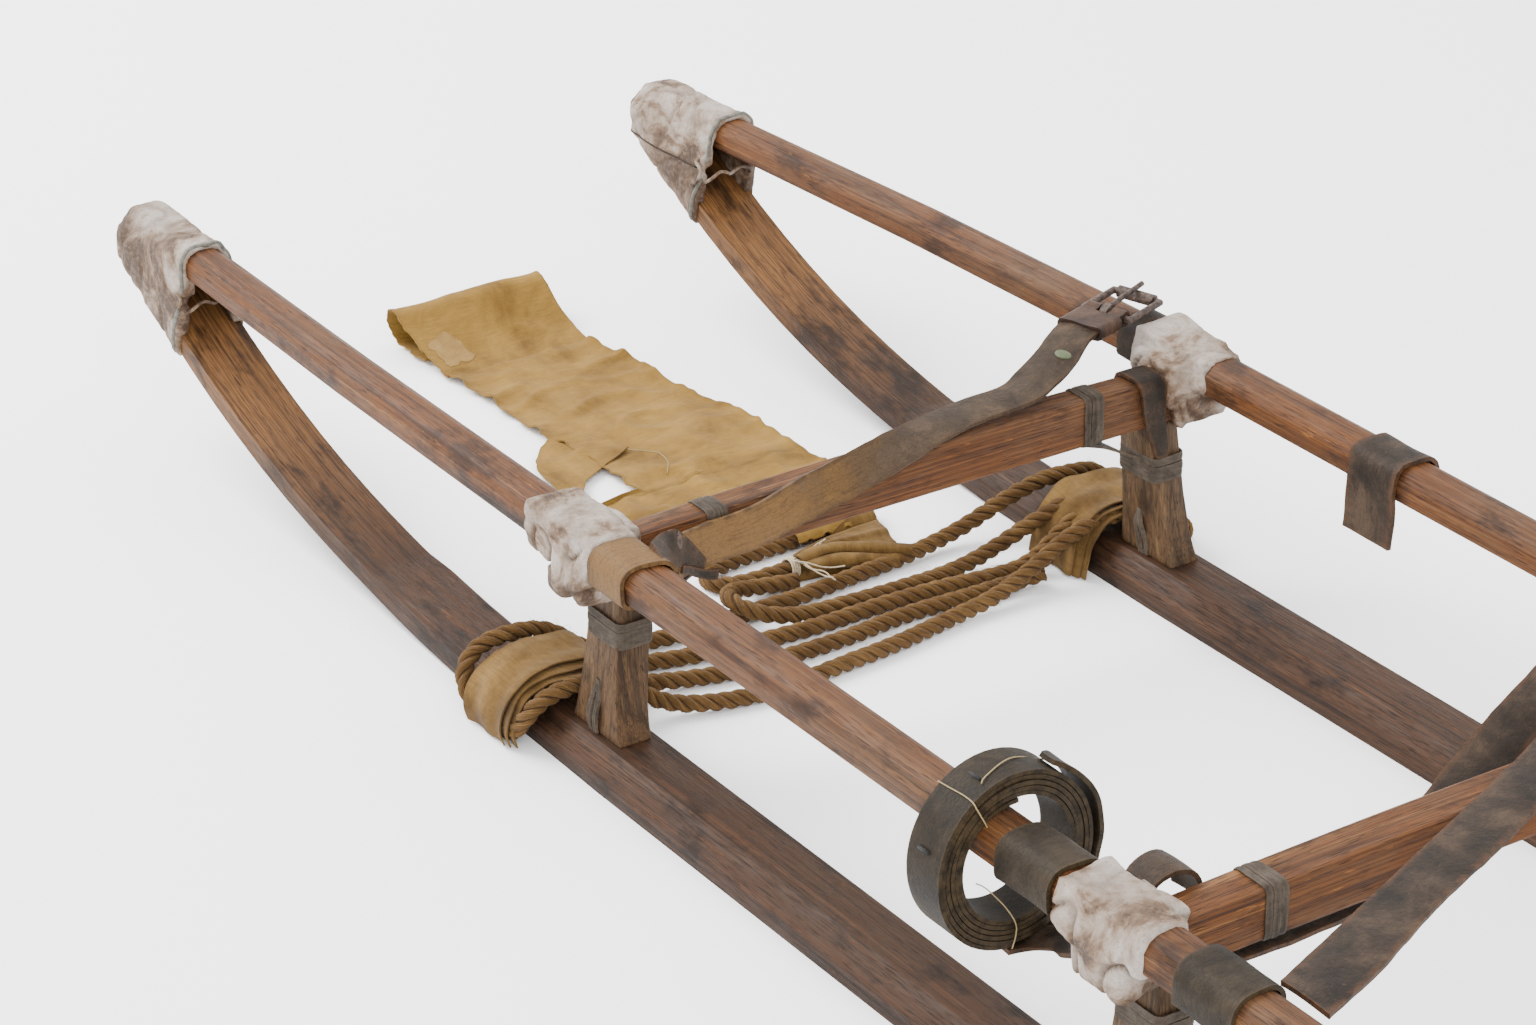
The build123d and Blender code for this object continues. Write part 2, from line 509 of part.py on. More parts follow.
# a wide hem folded over at the belt's far end: y ahead of the first station, and z, going round it
HEM = ((574, 0), (574, 3), (590, 7), (606, 16), (620, 28), (632, 35), (643, 34), (652, 26), (656, 14), (653, 4),
       (645, 0))
HEM_HOLLOW = ((594, CANVAS_T), (599, 8), (608, 13.6), (621.5, 25.3), (632.6, 31.8), (641.5, 31), (649.2, 24.8),
              (653, 14), (650.5, 5), (648.5, CANVAS_T))
HEM_X = (-27.0, 102.0)
# the gathered end: x, then rear and front edges ahead of the first station, and height
GATHERED = ((18, 176, 192, 17), (40, 172, 205, 22), (75, 158, 214, 24), (104, 157, 200, 14))


def canvas_belt():
    """The belt laid on the ground, one side folded back over it, its far end rolled over into a loop."""
    y = STATIONS[0]
    belt = section_loft([[(left, y + ahead, 0), (right, y + ahead, 0), (right, y + ahead, CANVAS_T),
                          (left, y + ahead, CANVAS_T)] for ahead, left, right in BELT])
    flap = make_face(Polyline(*[(x, y + ahead, 0) for x, ahead in FLAP], close=True))
    x0, x1 = HEM_X
    outer, inner = (make_face(Polyline(*[(x0, y + ahead, z) for ahead, z in loop], close=True))
                    for loop in (HEM, HEM_HOLLOW))
    hem = extrude(outer, x1 - x0, dir=(1, 0, 0)) - extrude(inner, x1 - x0, dir=(1, 0, 0))
    return belt + extrude(flap, 2 * CANVAS_T, dir=(0, 0, 1)) + hem


def canvas_end():
    """The gathered end of the belt, tied to the rope."""
    y = STATIONS[0]
    return section_loft([[(x, y + rear, 0), (x, y + front, 0), (x, y + front, z * 0.6), (x, y + rear + 6, z)]
                         for x, rear, front, z in GATHERED])


# ---------------------------------------------------------------- build
os.makedirs("parts", exist_ok=True)
runners = {side: runner(way) for side, way in SIDES}
rails = {side: rail(way) - runners[side] for side, way in SIDES}
bridges = [bridge(i) for i in range(BRIDGES)]
uprights = {(side, i): section_loft(upright_loops(way, i)) for side, way in SIDES for i in range(BRIDGES)}
for side, way in SIDES:
    write(f"runner_{side}", runners[side])
    write(f"rail_{side}", rails[side])
    for end, facing in (("front", 1), ("rear", -1)):
        write(f"boot_{end}_{side}", boot(facing, way) - runners[side] - rails[side])
    for i in range(BRIDGES):
        write(f"upright_{side}_{i + 1}", uprights[side, i])
        hide = binding(way, i) - rails[side] - bridges[i] - uprights[side, i]
        write(f"binding_{side}_{i + 1}", hide)
for i in range(BRIDGES):
    write(f"bridge_{i + 1}", bridges[i])
joints = [(way, i) for _, way in SIDES for i in range(BRIDGES)]
write("bridge_lashings", *[bridge_lashing(way, i) for way, i in joints])
write("upright_lashings", *[upright_lashing(way, i) for way, i in joints])
write("strut_thongs", *[strut_thong(way, i) for way, i in joints if (way, i) != CROSSED_JOINT])
write("foot_thongs", *[foot_thong(way, i, face) for way, i in joints for face in (-1, 1)])

write("front_strap", ribbon(FRONT_STRAP, LEATHER_T))
write("front_strap_loop", rail_wrap(-1, -52, -14, 5))
write("front_strap_tab", ribbon(STRAP_TAB, LEATHER_T))
write("strap_keeper", strap_keeper())
write("buckle_band", rail_wrap(1, 63, 81))
write("short_strap", ribbon(SHORT_STRAP, LEATHER_T))
write("rail_bands", rail_wrap(-1, -461, -415), rail_wrap(-1, -606, -560))
write("strap_coil", strap_coil())
write("coil_tail", ribbon(COIL_TAIL, LEATHER_T))
write("coil_end", ribbon(COIL_END, LEATHER_T))
write("strap_end_2", ribbon(STRAP_END_2, LEATHER_T))
write("cross_strap_over", ribbon(CROSS_STRAP_OVER, LEATHER_T))
write("cross_strap_under", ribbon(CROSS_STRAP_UNDER, LEATHER_T))
write("end_leather", end_leather())
write("buckle_frame", buckle_frame())
write("buckle_tongue", buckle_tongue())

write("trace_rope", cord(TRACE, ROPE_R))
write("belt_becket", cord(BECKET, ROPE_R))
tie = rod((TIE_AT[0] - TIE_W / 2, STATIONS[0] + TIE_AT[1], TIE_AT[2]),
          (TIE_AT[0] + TIE_W / 2, STATIONS[0] + TIE_AT[1], TIE_AT[2]), ROPE_R + TIE_T)
write("rope_tie", tie)
write("rope_sleeves", *[rope_sleeve(way, rear, front) for _, way, rear, front in SLEEVES])
write("canvas_belt", canvas_belt())
write("canvas_end", canvas_end())
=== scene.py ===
"""Looks of the dog sled: worn wood, rawhide, leather straps, rope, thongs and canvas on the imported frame."""
import bisect
import bpy
import bmesh
import math
import random
from mathutils import Matrix, Vector, noise
from mathutils.bvhtree import BVHTree


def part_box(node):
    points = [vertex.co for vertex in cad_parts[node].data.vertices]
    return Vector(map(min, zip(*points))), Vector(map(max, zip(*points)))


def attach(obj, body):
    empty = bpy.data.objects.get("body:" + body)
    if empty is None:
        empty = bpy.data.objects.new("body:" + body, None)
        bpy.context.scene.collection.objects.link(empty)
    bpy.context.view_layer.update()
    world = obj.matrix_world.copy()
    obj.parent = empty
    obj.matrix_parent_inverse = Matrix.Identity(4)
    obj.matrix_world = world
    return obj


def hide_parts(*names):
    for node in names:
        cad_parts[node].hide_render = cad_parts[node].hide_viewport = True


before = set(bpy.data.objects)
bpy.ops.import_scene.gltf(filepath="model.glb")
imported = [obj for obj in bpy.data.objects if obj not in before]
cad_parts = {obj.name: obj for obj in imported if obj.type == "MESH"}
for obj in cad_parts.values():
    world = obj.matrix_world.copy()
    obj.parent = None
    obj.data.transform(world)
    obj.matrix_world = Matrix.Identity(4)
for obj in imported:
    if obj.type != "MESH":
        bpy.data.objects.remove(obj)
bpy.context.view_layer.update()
STATION_Y = 1.0365          # the first pair of uprights; tables below are in mm ahead of it
PITCH = 525.0
SIDES = (("left", -1), ("right", 1))
BRIDGES = 5
UP = Vector((0, 0, 1))


def place(x, y, z):
    """A point given in mm, y ahead of the first uprights."""
    return Vector((x / 1000, STATION_Y + y / 1000, z / 1000))


def wobble(point, size, seed):
    """Smooth noise from -1 to 1 at a point, with features of the given size in metres."""
    return noise.noise(point / size + Vector((seed * 7.3, seed * 3.1, seed)))


def noise_at(x, y, z):
    """Smooth noise from -1 to 1, with features of size 1."""
    return noise.noise(Vector((x, y, z)))


def linked(name, data):
    """An object in the scene that shows the given data."""
    made = bpy.data.objects.new(name, data)
    bpy.context.scene.collection.objects.link(made)
    return made


# ---------------- camera
view = bpy.data.cameras.new("view")
view.lens = 102.22
view.sensor_width = 36.0
view.clip_end = 50.0
camera = linked("view", view)
camera.location = (-1.4570, -0.9480, 1.3457)
camera.rotation_euler = (math.radians(63.591), 0.0, math.radians(-34.0005))
bpy.context.scene.camera = camera


# ---------------- shader helpers
class Shader:
    """A material built node by node."""

    def __init__(self, name):
        self.material = bpy.data.materials.new(name)
        self.material.use_nodes = True
        self.tree = self.material.node_tree
        self.surface = self.tree.nodes["Principled BSDF"]

    def node(self, kind, inputs=(), **settings):
        made = self.tree.nodes.new(kind)
        for key, value in settings.items():
            setattr(made, key, value)
        for key, value in dict(inputs).items():
            self.feed(made.inputs[key], value)
        return made

    def feed(self, socket, value):
        if isinstance(value, bpy.types.NodeSocket):
            self.tree.links.new(value, socket)
        elif isinstance(value, (tuple, list)) and len(value) == 3 and socket.type == "RGBA":
            socket.default_value = (*value, 1.0)
        else:
            socket.default_value = value

    def scaled(self, vector, scale):
        return self.node("ShaderNodeMapping", {"Vector": vector, "Scale": scale}).outputs[0]

    def coords(self, attribute=None, scale=(1, 1, 1)):
        """Object coordinates in metres, or a stored attribute, scaled by (x, y, z)."""
        if attribute:
            source = self.node("ShaderNodeAttribute", attribute_name=attribute).outputs["Vector"]
        else:
            source = self.node("ShaderNodeTexCoord").outputs["Object"]
        return self.scaled(source, scale)

    def rim(self):
        """The share stored for worn rims and for painted shade in creases and grooves, 0 to 1."""
        return self.node("ShaderNodeAttribute", attribute_name="rim").outputs["Fac"]

    def part(self, vector, axis):
        return self.node("ShaderNodeSeparateXYZ", {"Vector": vector}).outputs[axis]

    def shifted(self, vector, shift):
        return self.node("ShaderNodeVectorMath", {0: vector, 1: shift}).outputs[0]

    def noise(self, vector, scale=1.0, detail=3.0, rough=0.5, distort=0.0):
        """Noise; three scales stretch it along the axes."""
        if isinstance(scale, tuple):
            vector, scale = self.scaled(vector, scale), 1.0
        made = self.node("ShaderNodeTexNoise", {"Vector": vector, "Scale": scale, "Detail": detail,
                                                "Roughness": rough, "Distortion": distort})
        return made.outputs["Fac"]

    def cells(self, vector):
        """Distance from the edges between cells."""
        inputs = {"Vector": vector, "Scale": 1.0}
        return self.node("ShaderNodeTexVoronoi", inputs, feature="DISTANCE_TO_EDGE").outputs["Distance"]

    def ramp(self, value, *stops):
        """Colours or greys at positions 0 to 1."""
        made = self.node("ShaderNodeValToRGB", {"Fac": value})
        points = made.color_ramp.elements
        while len(points) < len(stops):
            points.new(0.5)
        for point, (position, colour) in zip(points, stops):
            point.position = position
            point.color = (*colour, 1.0) if isinstance(colour, tuple) else (colour, colour, colour, 1.0)
        return made.outputs["Color"]

    def mix(self, share, a, b):
        made = self.node("ShaderNodeMix", data_type="RGBA")
        self.feed(made.inputs[0], share)
        self.feed(made.inputs[6], a)
        self.feed(made.inputs[7], b)
        return made.outputs[2]

    def cover(self, colour, tone, value, *stops):
        """A colour covered with a tone as far as the stops say at a value."""
        return self.mix(self.ramp(value, *stops), colour, tone)

    def math(self, operation, a, b):
        made = self.node("ShaderNodeMath", operation=operation)
        self.feed(made.inputs[0], a)
        self.feed(made.inputs[1], b)
        return made.outputs[0]

    def bump(self, height, distance, strength=1.0, normal=None):
        made = self.node("ShaderNodeBump", {"Height": height, "Distance": distance, "Strength": strength})
        if normal:
            self.feed(made.inputs["Normal"], normal)
        return made.outputs[0]

    def finish(self, colour, rough, normal, **others):
        for key, value in {"Base Color": colour, "Roughness": rough, "Normal": normal, **others}.items():
            self.feed(self.surface.inputs[key.replace("_", " ")], value)
        return self.material


def shade(tone, share):
    """A tone made darker or lighter."""
    return tuple(v * share for v in tone)


# ---------------- materials
DULL = 0.12                 # specular level of dry, dusty surfaces
# painted light: a brighter, more orange tone for the runners' bends where they rise
BEND_PAINTED_LIGHT = (0.165, 0.074, 0.024)
BEND_LIGHT_RISE = ((0.026, 0.0), (0.070, 0.80))      # heights in metres over which the painted light on the runners' bends grows brighter


def wood(name, dark, middle, light, grey, seed, painted_light_bends=False):
    """Old oiled hickory or ash: streaks, grain lines, pores, greying and grime along the stored grain, and
    painted light that brightens the runners' raised bends.
    """
    s = Shader(name)
    grain = s.shifted(s.coords("grain"), (seed, seed * 0.7, 0))
    warp = s.noise(grain, (14, 1.6, 14), 2)
    bands = s.noise(s.shifted(s.scaled(grain, (150, 2.1, 150)), warp), detail=5, rough=0.66)
    line = s.noise(s.shifted(s.scaled(grain, (78, 0.9, 78)), warp), detail=1)
    fine = s.noise(grain, (1000, 9, 1000), 2, 0.6)
    pores = s.noise(grain, (1500, 60, 1500), 1)
    worn = s.noise(grain, (15, 4.5, 15), 5, 0.68)
    stain_and_shade = s.noise(grain, (34, 17, 34), 4, 0.62)
    scuff = s.noise(grain, (260, 34, 260), 4, 0.72)
    deep = shade(dark, 0.42)
    colour = s.ramp(bands, (0.36, dark), (0.48, middle), (0.58, middle), (0.70, light))
    colour = s.cover(colour, grey, worn, (0.46, 0.0), (0.64, 0.55))
    # painted light on the runners: the higher a bend rises, the brighter its tone
    if painted_light_bends:
        colour = s.cover(colour, BEND_PAINTED_LIGHT, s.part(s.coords(), "Z"), *BEND_LIGHT_RISE)
    colour = s.cover(colour, deep, line, (0.475, 0.0), (0.495, 0.62), (0.515, 0.0))
    colour = s.cover(colour, dark, fine, (0.40, 0.50), (0.58, 0.0))
    colour = s.cover(colour, deep, pores, (0.30, 0.8), (0.42, 0.0))
    colour = s.cover(colour, deep, stain_and_shade, (0.34, 0.75), (0.46, 0.0))
    colour = s.cover(colour, shade(light, 1.5), scuff, (0.64, 0.0), (0.72, 0.40))
    height = s.mix(0.5, s.ramp(pores, (0.30, 0.0), (0.45, 1.0)), fine)
    normal = s.bump(height, 0.0004, 0.8, s.bump(bands, 0.0011, 0.5, s.bump(worn, 0.003, 0.3)))
    return s.finish(colour, s.ramp(scuff, (0.3, 0.46), (0.7, 0.66)), normal, Specular_IOR_Level=DULL)


def rawhide():
    """Dried hide: chalky white skin, browner low down and worn through to brown in patches, with painted shade
    in its creases and hollows, finely wrinkled.
    """
    s = Shader("rawhide")
    base = s.coords()
    # darker and browner towards the bottom, by height alone
    low = s.ramp(s.math("MULTIPLY", s.part(base, "Z"), 5.0), (0.60, 0.13), (0.84, 0.0))
    patches = s.math("SUBTRACT", s.noise(base, 30, 6, 0.66, 0.5), low)
    fine = s.noise(base, 300, 4, 0.68)
    colour = s.ramp(patches, (0.355, (0.040, 0.021, 0.011)), (0.42, (0.110, 0.066, 0.038)),
                    (0.48, (0.205, 0.156, 0.120)), (0.61, (0.300, 0.262, 0.230)))
    colour = s.cover(colour, (0.15, 0.105, 0.078), fine, (0.34, 0.50), (0.50, 0.0))
    colour = s.cover(colour, (0.07, 0.045, 0.030), s.noise(base, 1100, 2), (0.30, 0.45), (0.40, 0.0))
    # painted shade: brown in the hide's creases and hollows, broken up by noise
    crease_shade = s.math("MULTIPLY", s.rim(), s.ramp(s.noise(base, 60, 4, 0.6), (0.34, 0.25), (0.56, 1.0)))
    colour = s.mix(crease_shade, colour, (0.062, 0.036, 0.020))
    wrinkle = s.ramp(s.cells(s.coords(scale=(120, 70, 120))), (0.0, 0.0), (0.3, 1.0))
    normal = s.bump(fine, 0.0008, 0.7, s.bump(wrinkle, 0.0004, 0.4, s.bump(patches, 0.004, 0.6)))
    return s.finish(colour, 0.66, normal, Specular_IOR_Level=0.28)


def leather(name, tones, worn, seed=0.0, rough=0.6, tan=None):
    """Old strap leather; where tan is given, the strap's first stretch has kept that colour."""
    s = Shader(name)
    skin_at = s.coords("skin")
    solid = s.shifted(s.coords(), (seed, seed, seed))
    broad = s.noise(solid, 30, 6, 0.7, 0.3)
    fine = s.noise(solid, 420, 4, 0.7)
    colour = s.ramp(broad, *((0.36 + 0.28 * k / (len(tones) - 1), tone) for k, tone in enumerate(tones)))
    if tan:
        ragged = s.math("MULTIPLY", s.math("SUBTRACT", broad, 0.5), 0.25)
        run = s.math("ADD", s.part(skin_at, "Y"), ragged)
        colour = s.cover(colour, tan, run, (0.08, 0.85), (0.19, 0.0))
    streak = s.noise(skin_at, (700, 45, 1), 3, 0.6)
    colour = s.cover(colour, shade(tones[0], 0.6), streak, (0.34, 0.30), (0.48, 0.0))
    crack = s.ramp(s.cells(s.scaled(skin_at, (430, 230, 1))), (0.0, 0.0), (0.07, 1.0))
    scrape = s.noise(skin_at, (260, 120, 1), 4, 0.75)
    colour = s.cover(colour, shade(tones[-1], 1.7), scrape, (0.62, 0.0), (0.72, 0.55))
    wear = s.math("MULTIPLY", s.rim(), s.ramp(s.noise(solid, 140, 3), (0.38, 0.15), (0.58, 0.9)))
    colour = s.mix(wear, colour, worn)
    open_crack = s.math("MULTIPLY", s.math("SUBTRACT", 1.0, crack), 0.35)
    colour = s.mix(open_crack, colour, shade(tones[0], 0.4))
    normal = s.bump(fine, 0.0005, 0.7, s.bump(crack, 0.0002, 0.5, s.bump(broad, 0.002, 0.4)))
    return s.finish(colour, rough, normal, Specular_IOR_Level=DULL)


def canvas(name, dark, middle, light):
    """Tan cotton canvas, plain weave, with creases, rubbed lines and stains."""
    s = Shader(name)
    skin_at = s.coords("skin")
    solid = s.coords()
    weave = {"Vector": skin_at, "Distortion": 0.6, "Detail": 1.0}
    warp, weft = (s.node("ShaderNodeTexWave", {**weave, "Scale": scale}, bands_direction=way).outputs["Fac"]
                  for way, scale in (("X", 260.0), ("Y", 230.0)))
    slub = s.noise(skin_at, (60, 700, 1), 3)
    rubbed = s.noise(skin_at, (28, 95, 1), 5, 0.7, 0.6)
    colour = s.ramp(s.noise(solid, 19, 6, 0.66, 0.4), (0.32, dark), (0.48, middle), (0.66, light))
    colour = s.cover(colour, dark, slub, (0.34, 0.30), (0.52, 0.0))
    colour = s.cover(colour, shade(light, 1.35), rubbed, (0.66, 0.0), (0.74, 0.55))
    colour = s.cover(colour, shade(dark, 0.4), s.noise(solid, 330, 2), (0.72, 0.0), (0.80, 0.55))
    colour = s.mix(s.math("MULTIPLY", s.rim(), 0.35), colour, dark)
    creases = s.bump(s.noise(solid, 60, 5), 0.0035, 0.5)
    normal = s.bump(s.mix(0.5, warp, weft), 0.0002, 0.7, s.bump(slub, 0.0003, 0.4, creases))
    return s.finish(colour, 0.9, normal, Sheen_Weight=0.04, Specular_IOR_Level=0.10)


def rope_fibre():
    """Manila: golden brown yarns that run along each strand, with painted shade on the strands' inner sides."""
    s = Shader("rope_fibre")
    yarn = s.noise(s.coords("skin"), (1500, 90, 1), 3, 0.6)
    colour = s.ramp(yarn, (0.30, (0.034, 0.016, 0.005)), (0.50, (0.102, 0.052, 0.015)),
                    (0.70, (0.195, 0.112, 0.038)))
    dark = s.noise(s.coords(), 35, 4, 0.6)
    colour = s.cover(colour, (0.050, 0.022, 0.006), dark, (0.35, 0.55), (0.60, 0.0))
    # painted shade where the strands meet, from the share each strand stores on its inner side
    groove_shade = s.math("MULTIPLY", s.rim(), 0.8)
    colour = s.mix(groove_shade, colour, (0.016, 0.007, 0.003))
    return s.finish(colour, 0.75, s.bump(yarn, 0.0008, 0.9), Sheen_Weight=0.03, Specular_IOR_Level=DULL)


def rusty_iron():
    """Dark forged iron, rust brown where it is rough."""
    s = Shader("rusty_iron")
    rust = s.noise(s.coords(), 240, 5, 0.7)
    colour = s.ramp(rust, (0.35, (0.018, 0.012, 0.010)), (0.52, (0.052, 0.033, 0.025)),
                    (0.68, (0.12, 0.070, 0.045)))
    metal = s.ramp(rust, (0.35, 0.75), (0.6, 0.15))
    rough = s.ramp(rust, (0.3, 0.45), (0.7, 0.85))
    return s.finish(colour, rough, s.bump(rust, 0.0006, 0.9), Metallic=metal)


def plain(name, colour, rough, speck, size):
    """A small trim material: one colour broken up by specks of another."""
    s = Shader(name)
    mottle = s.noise(s.coords(), size, 4, 0.65)
    specked = s.cover(colour, speck, mottle, (0.40, 0.8), (0.62, 0.0))
    return s.finish(specked, rough, s.bump(mottle, 0.0005, 0.6))


RUNNER_WOOD = wood("runner_wood", (0.014, 0.007, 0.004), (0.042, 0.018, 0.008), (0.086, 0.037, 0.015),
                   (0.034, 0.020, 0.012), 0.0, painted_light_bends=True)
FRAME_WOOD = wood("frame_wood", (0.028, 0.011, 0.005), (0.092, 0.034, 0.010), (0.170, 0.074, 0.024),
                  (0.082, 0.048, 0.026), 3.7)
POST_WOOD = wood("post_wood", (0.027, 0.015, 0.008), (0.074, 0.040, 0.018), (0.130, 0.074, 0.032),
                 (0.064, 0.045, 0.028), 6.1)
RAWHIDE = rawhide()
RIM_HIDE = plain("rim_hide", (0.115, 0.112, 0.092), 0.7, (0.050, 0.045, 0.034), 260)
STRAP_BROWN = leather("strap_brown", ((0.016, 0.010, 0.006), (0.032, 0.021, 0.013), (0.060, 0.038, 0.022)),
                      (0.040, 0.022, 0.011), tan=(0.130, 0.068, 0.022))
STRAP_DARK = leather("strap_dark", ((0.009, 0.006, 0.004), (0.022, 0.014, 0.009), (0.046, 0.029, 0.018)),
                     (0.056, 0.026, 0.012), 2.0)
STRAP_RED = leather("strap_red", ((0.016, 0.008, 0.005), (0.042, 0.021, 0.012), (0.075, 0.040, 0.022)),
                    (0.016, 0.010, 0.008), 4.0, 0.5)
STRAP_GREY = leather("strap_grey", ((0.0065, 0.0045, 0.0024), (0.014, 0.0094, 0.005), (0.027, 0.0185, 0.01)),
                     (0.036, 0.024, 0.012), 5.0)
THONG = leather("thong", ((0.016, 0.012, 0.008), (0.038, 0.029, 0.021), (0.070, 0.055, 0.041)),
                (0.070, 0.052, 0.038), 7.0, 0.65)
CANVAS = canvas("canvas", (0.094, 0.049, 0.010), (0.166, 0.092, 0.019), (0.222, 0.128, 0.029))
CANVAS_WORN = canvas("canvas_worn", (0.042, 0.022, 0.007), (0.094, 0.051, 0.014), (0.150, 0.087, 0.027))
CANVAS_PALE = canvas("canvas_pale", (0.130, 0.074, 0.022), (0.200, 0.120, 0.038), (0.250, 0.155, 0.055))
ROPE = rope_fibre()
IRON = rusty_iron()
THREAD = plain("thread", (0.26, 0.19, 0.085), 0.8, (0.17, 0.12, 0.05), 900)
TWINE = plain("twine", (0.46, 0.38, 0.26), 0.8, (0.25, 0.18, 0.10), 900)
RIVET = plain("rivet", (0.034, 0.052, 0.018), 0.75, (0.070, 0.070, 0.030), 420)
# painted shade: the near-black tone for the dark insides of the coil's slits
HOLE_SHADE = plain("hole_shade", (0.004, 0.003, 0.003), 0.9, (0.002, 0.0015, 0.0015), 500)


# ---------------- making pieces
RIM_RUN = 0.0016            # how far wear reaches in from a sheet's edge
STRAP_STEP = 0.004
STRAP_ROUGH = 0.0006        # how uneven a strap is, over these lengths on its face and at its edges
FACE_WAVE, EDGE_WAVE = 0.018, 0.012
SOFT_EDGE = math.radians(55)


def mesh_of(name, bm):
    """A mesh with what a bmesh holds; the bmesh is freed."""
    mesh = bpy.data.meshes.new(name)
    bm.to_mesh(mesh)
    bm.free()
    return mesh


def tree_of(mesh, matrix=Matrix()):
    """A search tree of a mesh's faces."""
    spots = [matrix @ v.co for v in mesh.vertices]
    return BVHTree.FromPolygons(spots, [tuple(p.vertices) for p in mesh.polygons])


def store(mesh, name, spots):
    """Stores one vector for each vertex: skin is across, along and side, grain is along the wood on Y."""
    data = mesh.attributes.new(name, "FLOAT_VECTOR", "POINT")
    data.data.foreach_set("vector", [c for spot in spots for c in spot])


def store_rim(mesh, marks):
    """Stores for each vertex a share from 0 to 1: wear and dirt at edges, painted shade in creases and grooves.
    """
    mesh.attributes.new("rim", "FLOAT", "POINT").data.foreach_set("value", marks)


def add(name, mesh, material, node=None, smooth=True):
    """Puts a mesh in the scene as a piece of the sled, which may replace a CAD node."""
    mesh.materials.clear()
    mesh.materials.append(material)
    if smooth:
        mesh.shade_smooth()
    piece = linked(name, mesh)
    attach(piece, "sled")
    if node:
        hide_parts(node)
    return piece


def shaped(name, points, faces, material, where, rims=None, node=None, smooth=True):
    """A piece from points and faces, with its skin coordinates and its rim shares."""
    mesh = bpy.data.meshes.new(name)
    mesh.from_pydata(points, [], faces)
    mesh.update()
    store(mesh, "skin", where)
    store_rim(mesh, rims or [0.0] * len(points))
    return add(name, mesh, material, node, smooth)


def beside(items, i, ring=False):
    """The items before and after one of them, along a line or round a ring."""
    if ring:
        return items[i - 1], items[(i + 1) % len(items)]
    return items[max(i - 1, 0)], items[min(i + 1, len(items) - 1)]


def heading(points, i, ring=False):
    """The way a line of points runs at one of them."""
    before, after = beside(points, i, ring)
    return (after - before).normalized()


def runs_of(points):
    """How far each point lies along the line from its first."""
    runs = [0.0]
    for a, b in zip(points, points[1:]):
        runs.append(runs[-1] + (b - a).length)
    return runs


def strip(a, b, backward=False):
    """Faces between two rows of vertex numbers."""
    quads = [(a[k], a[k + 1], b[k + 1], b[k]) for k in range(len(a) - 1)]
    return [quad[::-1] for quad in quads] if backward else quads


def skin(name, grid, thickness, material, node=None, ring=False, rim_run=RIM_RUN):
    """A sheet with thickness through a grid of points: rows along it, each row across it."""
    rows, columns = len(grid), len(grid[0])
    runs = runs_of([row[columns // 2] for row in grid])
    points, where, rims = [], [], []
    for side in (1, -1):
        for i, row in enumerate(grid):
            before, after = beside(grid, i, ring)
            reaches = runs_of(row)
            for j, point in enumerate(row):
                left, right = beside(row, j)
                normal = (right - left).cross(after[j] - before[j]).normalized()
                points.append(point + normal * side * thickness / 2)
                where.append((reaches[j], runs[i], side * 0.01))
                ends = [reaches[j], reaches[-1] - reaches[j]]
                if not ring:
                    ends += [runs[i], runs[-1] - runs[i]]
                rims.append(max(0.0, 1.0 - min(ends) / rim_run))
    top = [list(range(i * columns, (i + 1) * columns)) for i in range(rows)]
    under = [[rows * columns + k for k in row] for row in top]
    faces = []
    for i in range(rows if ring else rows - 1):
        k = (i + 1) % rows
        faces += strip(top[i], top[k]) + strip(under[i], under[k], backward=True)
        faces += [(top[i][0], top[k][0], under[k][0], under[i][0]),
                  (under[i][-1], under[k][-1], top[k][-1], top[i][-1])]
    if not ring:
        faces += strip(top[0], under[0], backward=True) + strip(top[-1], under[-1])
    piece = shaped(name, points, faces, material, where, rims, node)
    piece.data.set_sharp_from_angle(angle=SOFT_EDGE)
    return piece


def between(points, i, t):
    """A point on the smooth curve through the points, at share t of the way from point i to the next."""
    p0, p1, p2, p3 = (points[min(max(k, 0), len(points) - 1)] for k in (i - 1, i, i + 1, i + 2))
    return 0.5 * (2 * p1 + (p2 - p0) * t + (2 * p0 - 5 * p1 + 4 * p2 - p3) * t * t
                  + (3 * p1 - p0 - 3 * p2 + p3) * t ** 3)


def curve(points, step, pace=None):
    """A smooth curve through the points, about one point per step of them or of another line."""
    pace = pace or points
    out = []
    for i in range(len(points) - 1):
        count = max(1, round((pace[i + 1] - pace[i]).length / step))
        out += [between(points, i, n / count) for n in range(count)]
    return out + [points[-1].copy()]


def strap(name, rows, thickness, material, node=None, *, curl, columns=9, seed=1.0):
    """A strap from rows of both its edges in mm, cupped a little and uneven along its edges."""
    edges = [[place(*row[first:first + 3]) for row in rows] for first in (0, 3)]
    middle = [(a + b) / 2 for a, b in zip(*edges)]
    spine = curve(middle, STRAP_STEP)
    grid = []
    for i, (a, b) in enumerate(zip(*(curve(edge, STRAP_STEP, middle) for edge in edges))):
        before, after = beside(spine, i)
        out = (b - a).normalized()
        up = (b - a).cross(after - before).normalized()
        row = []
        for j in range(columns):
            t = j / (columns - 1)
            point = a.lerp(b, t)
            lift = curl * (1 - (2 * t - 1) ** 2) + STRAP_ROUGH * wobble(point, FACE_WAVE, seed)
            push = out * STRAP_ROUGH * wobble(point, EDGE_WAVE, seed + 4) * abs(2 * t - 1)
            row.append(point + up * lift + push)
        grid.append(row)
    return skin(name, grid, thickness, material, node)


def circle(count):
    """Even angles round a circle."""
    return [2 * math.pi * k / count for k in range(count)]


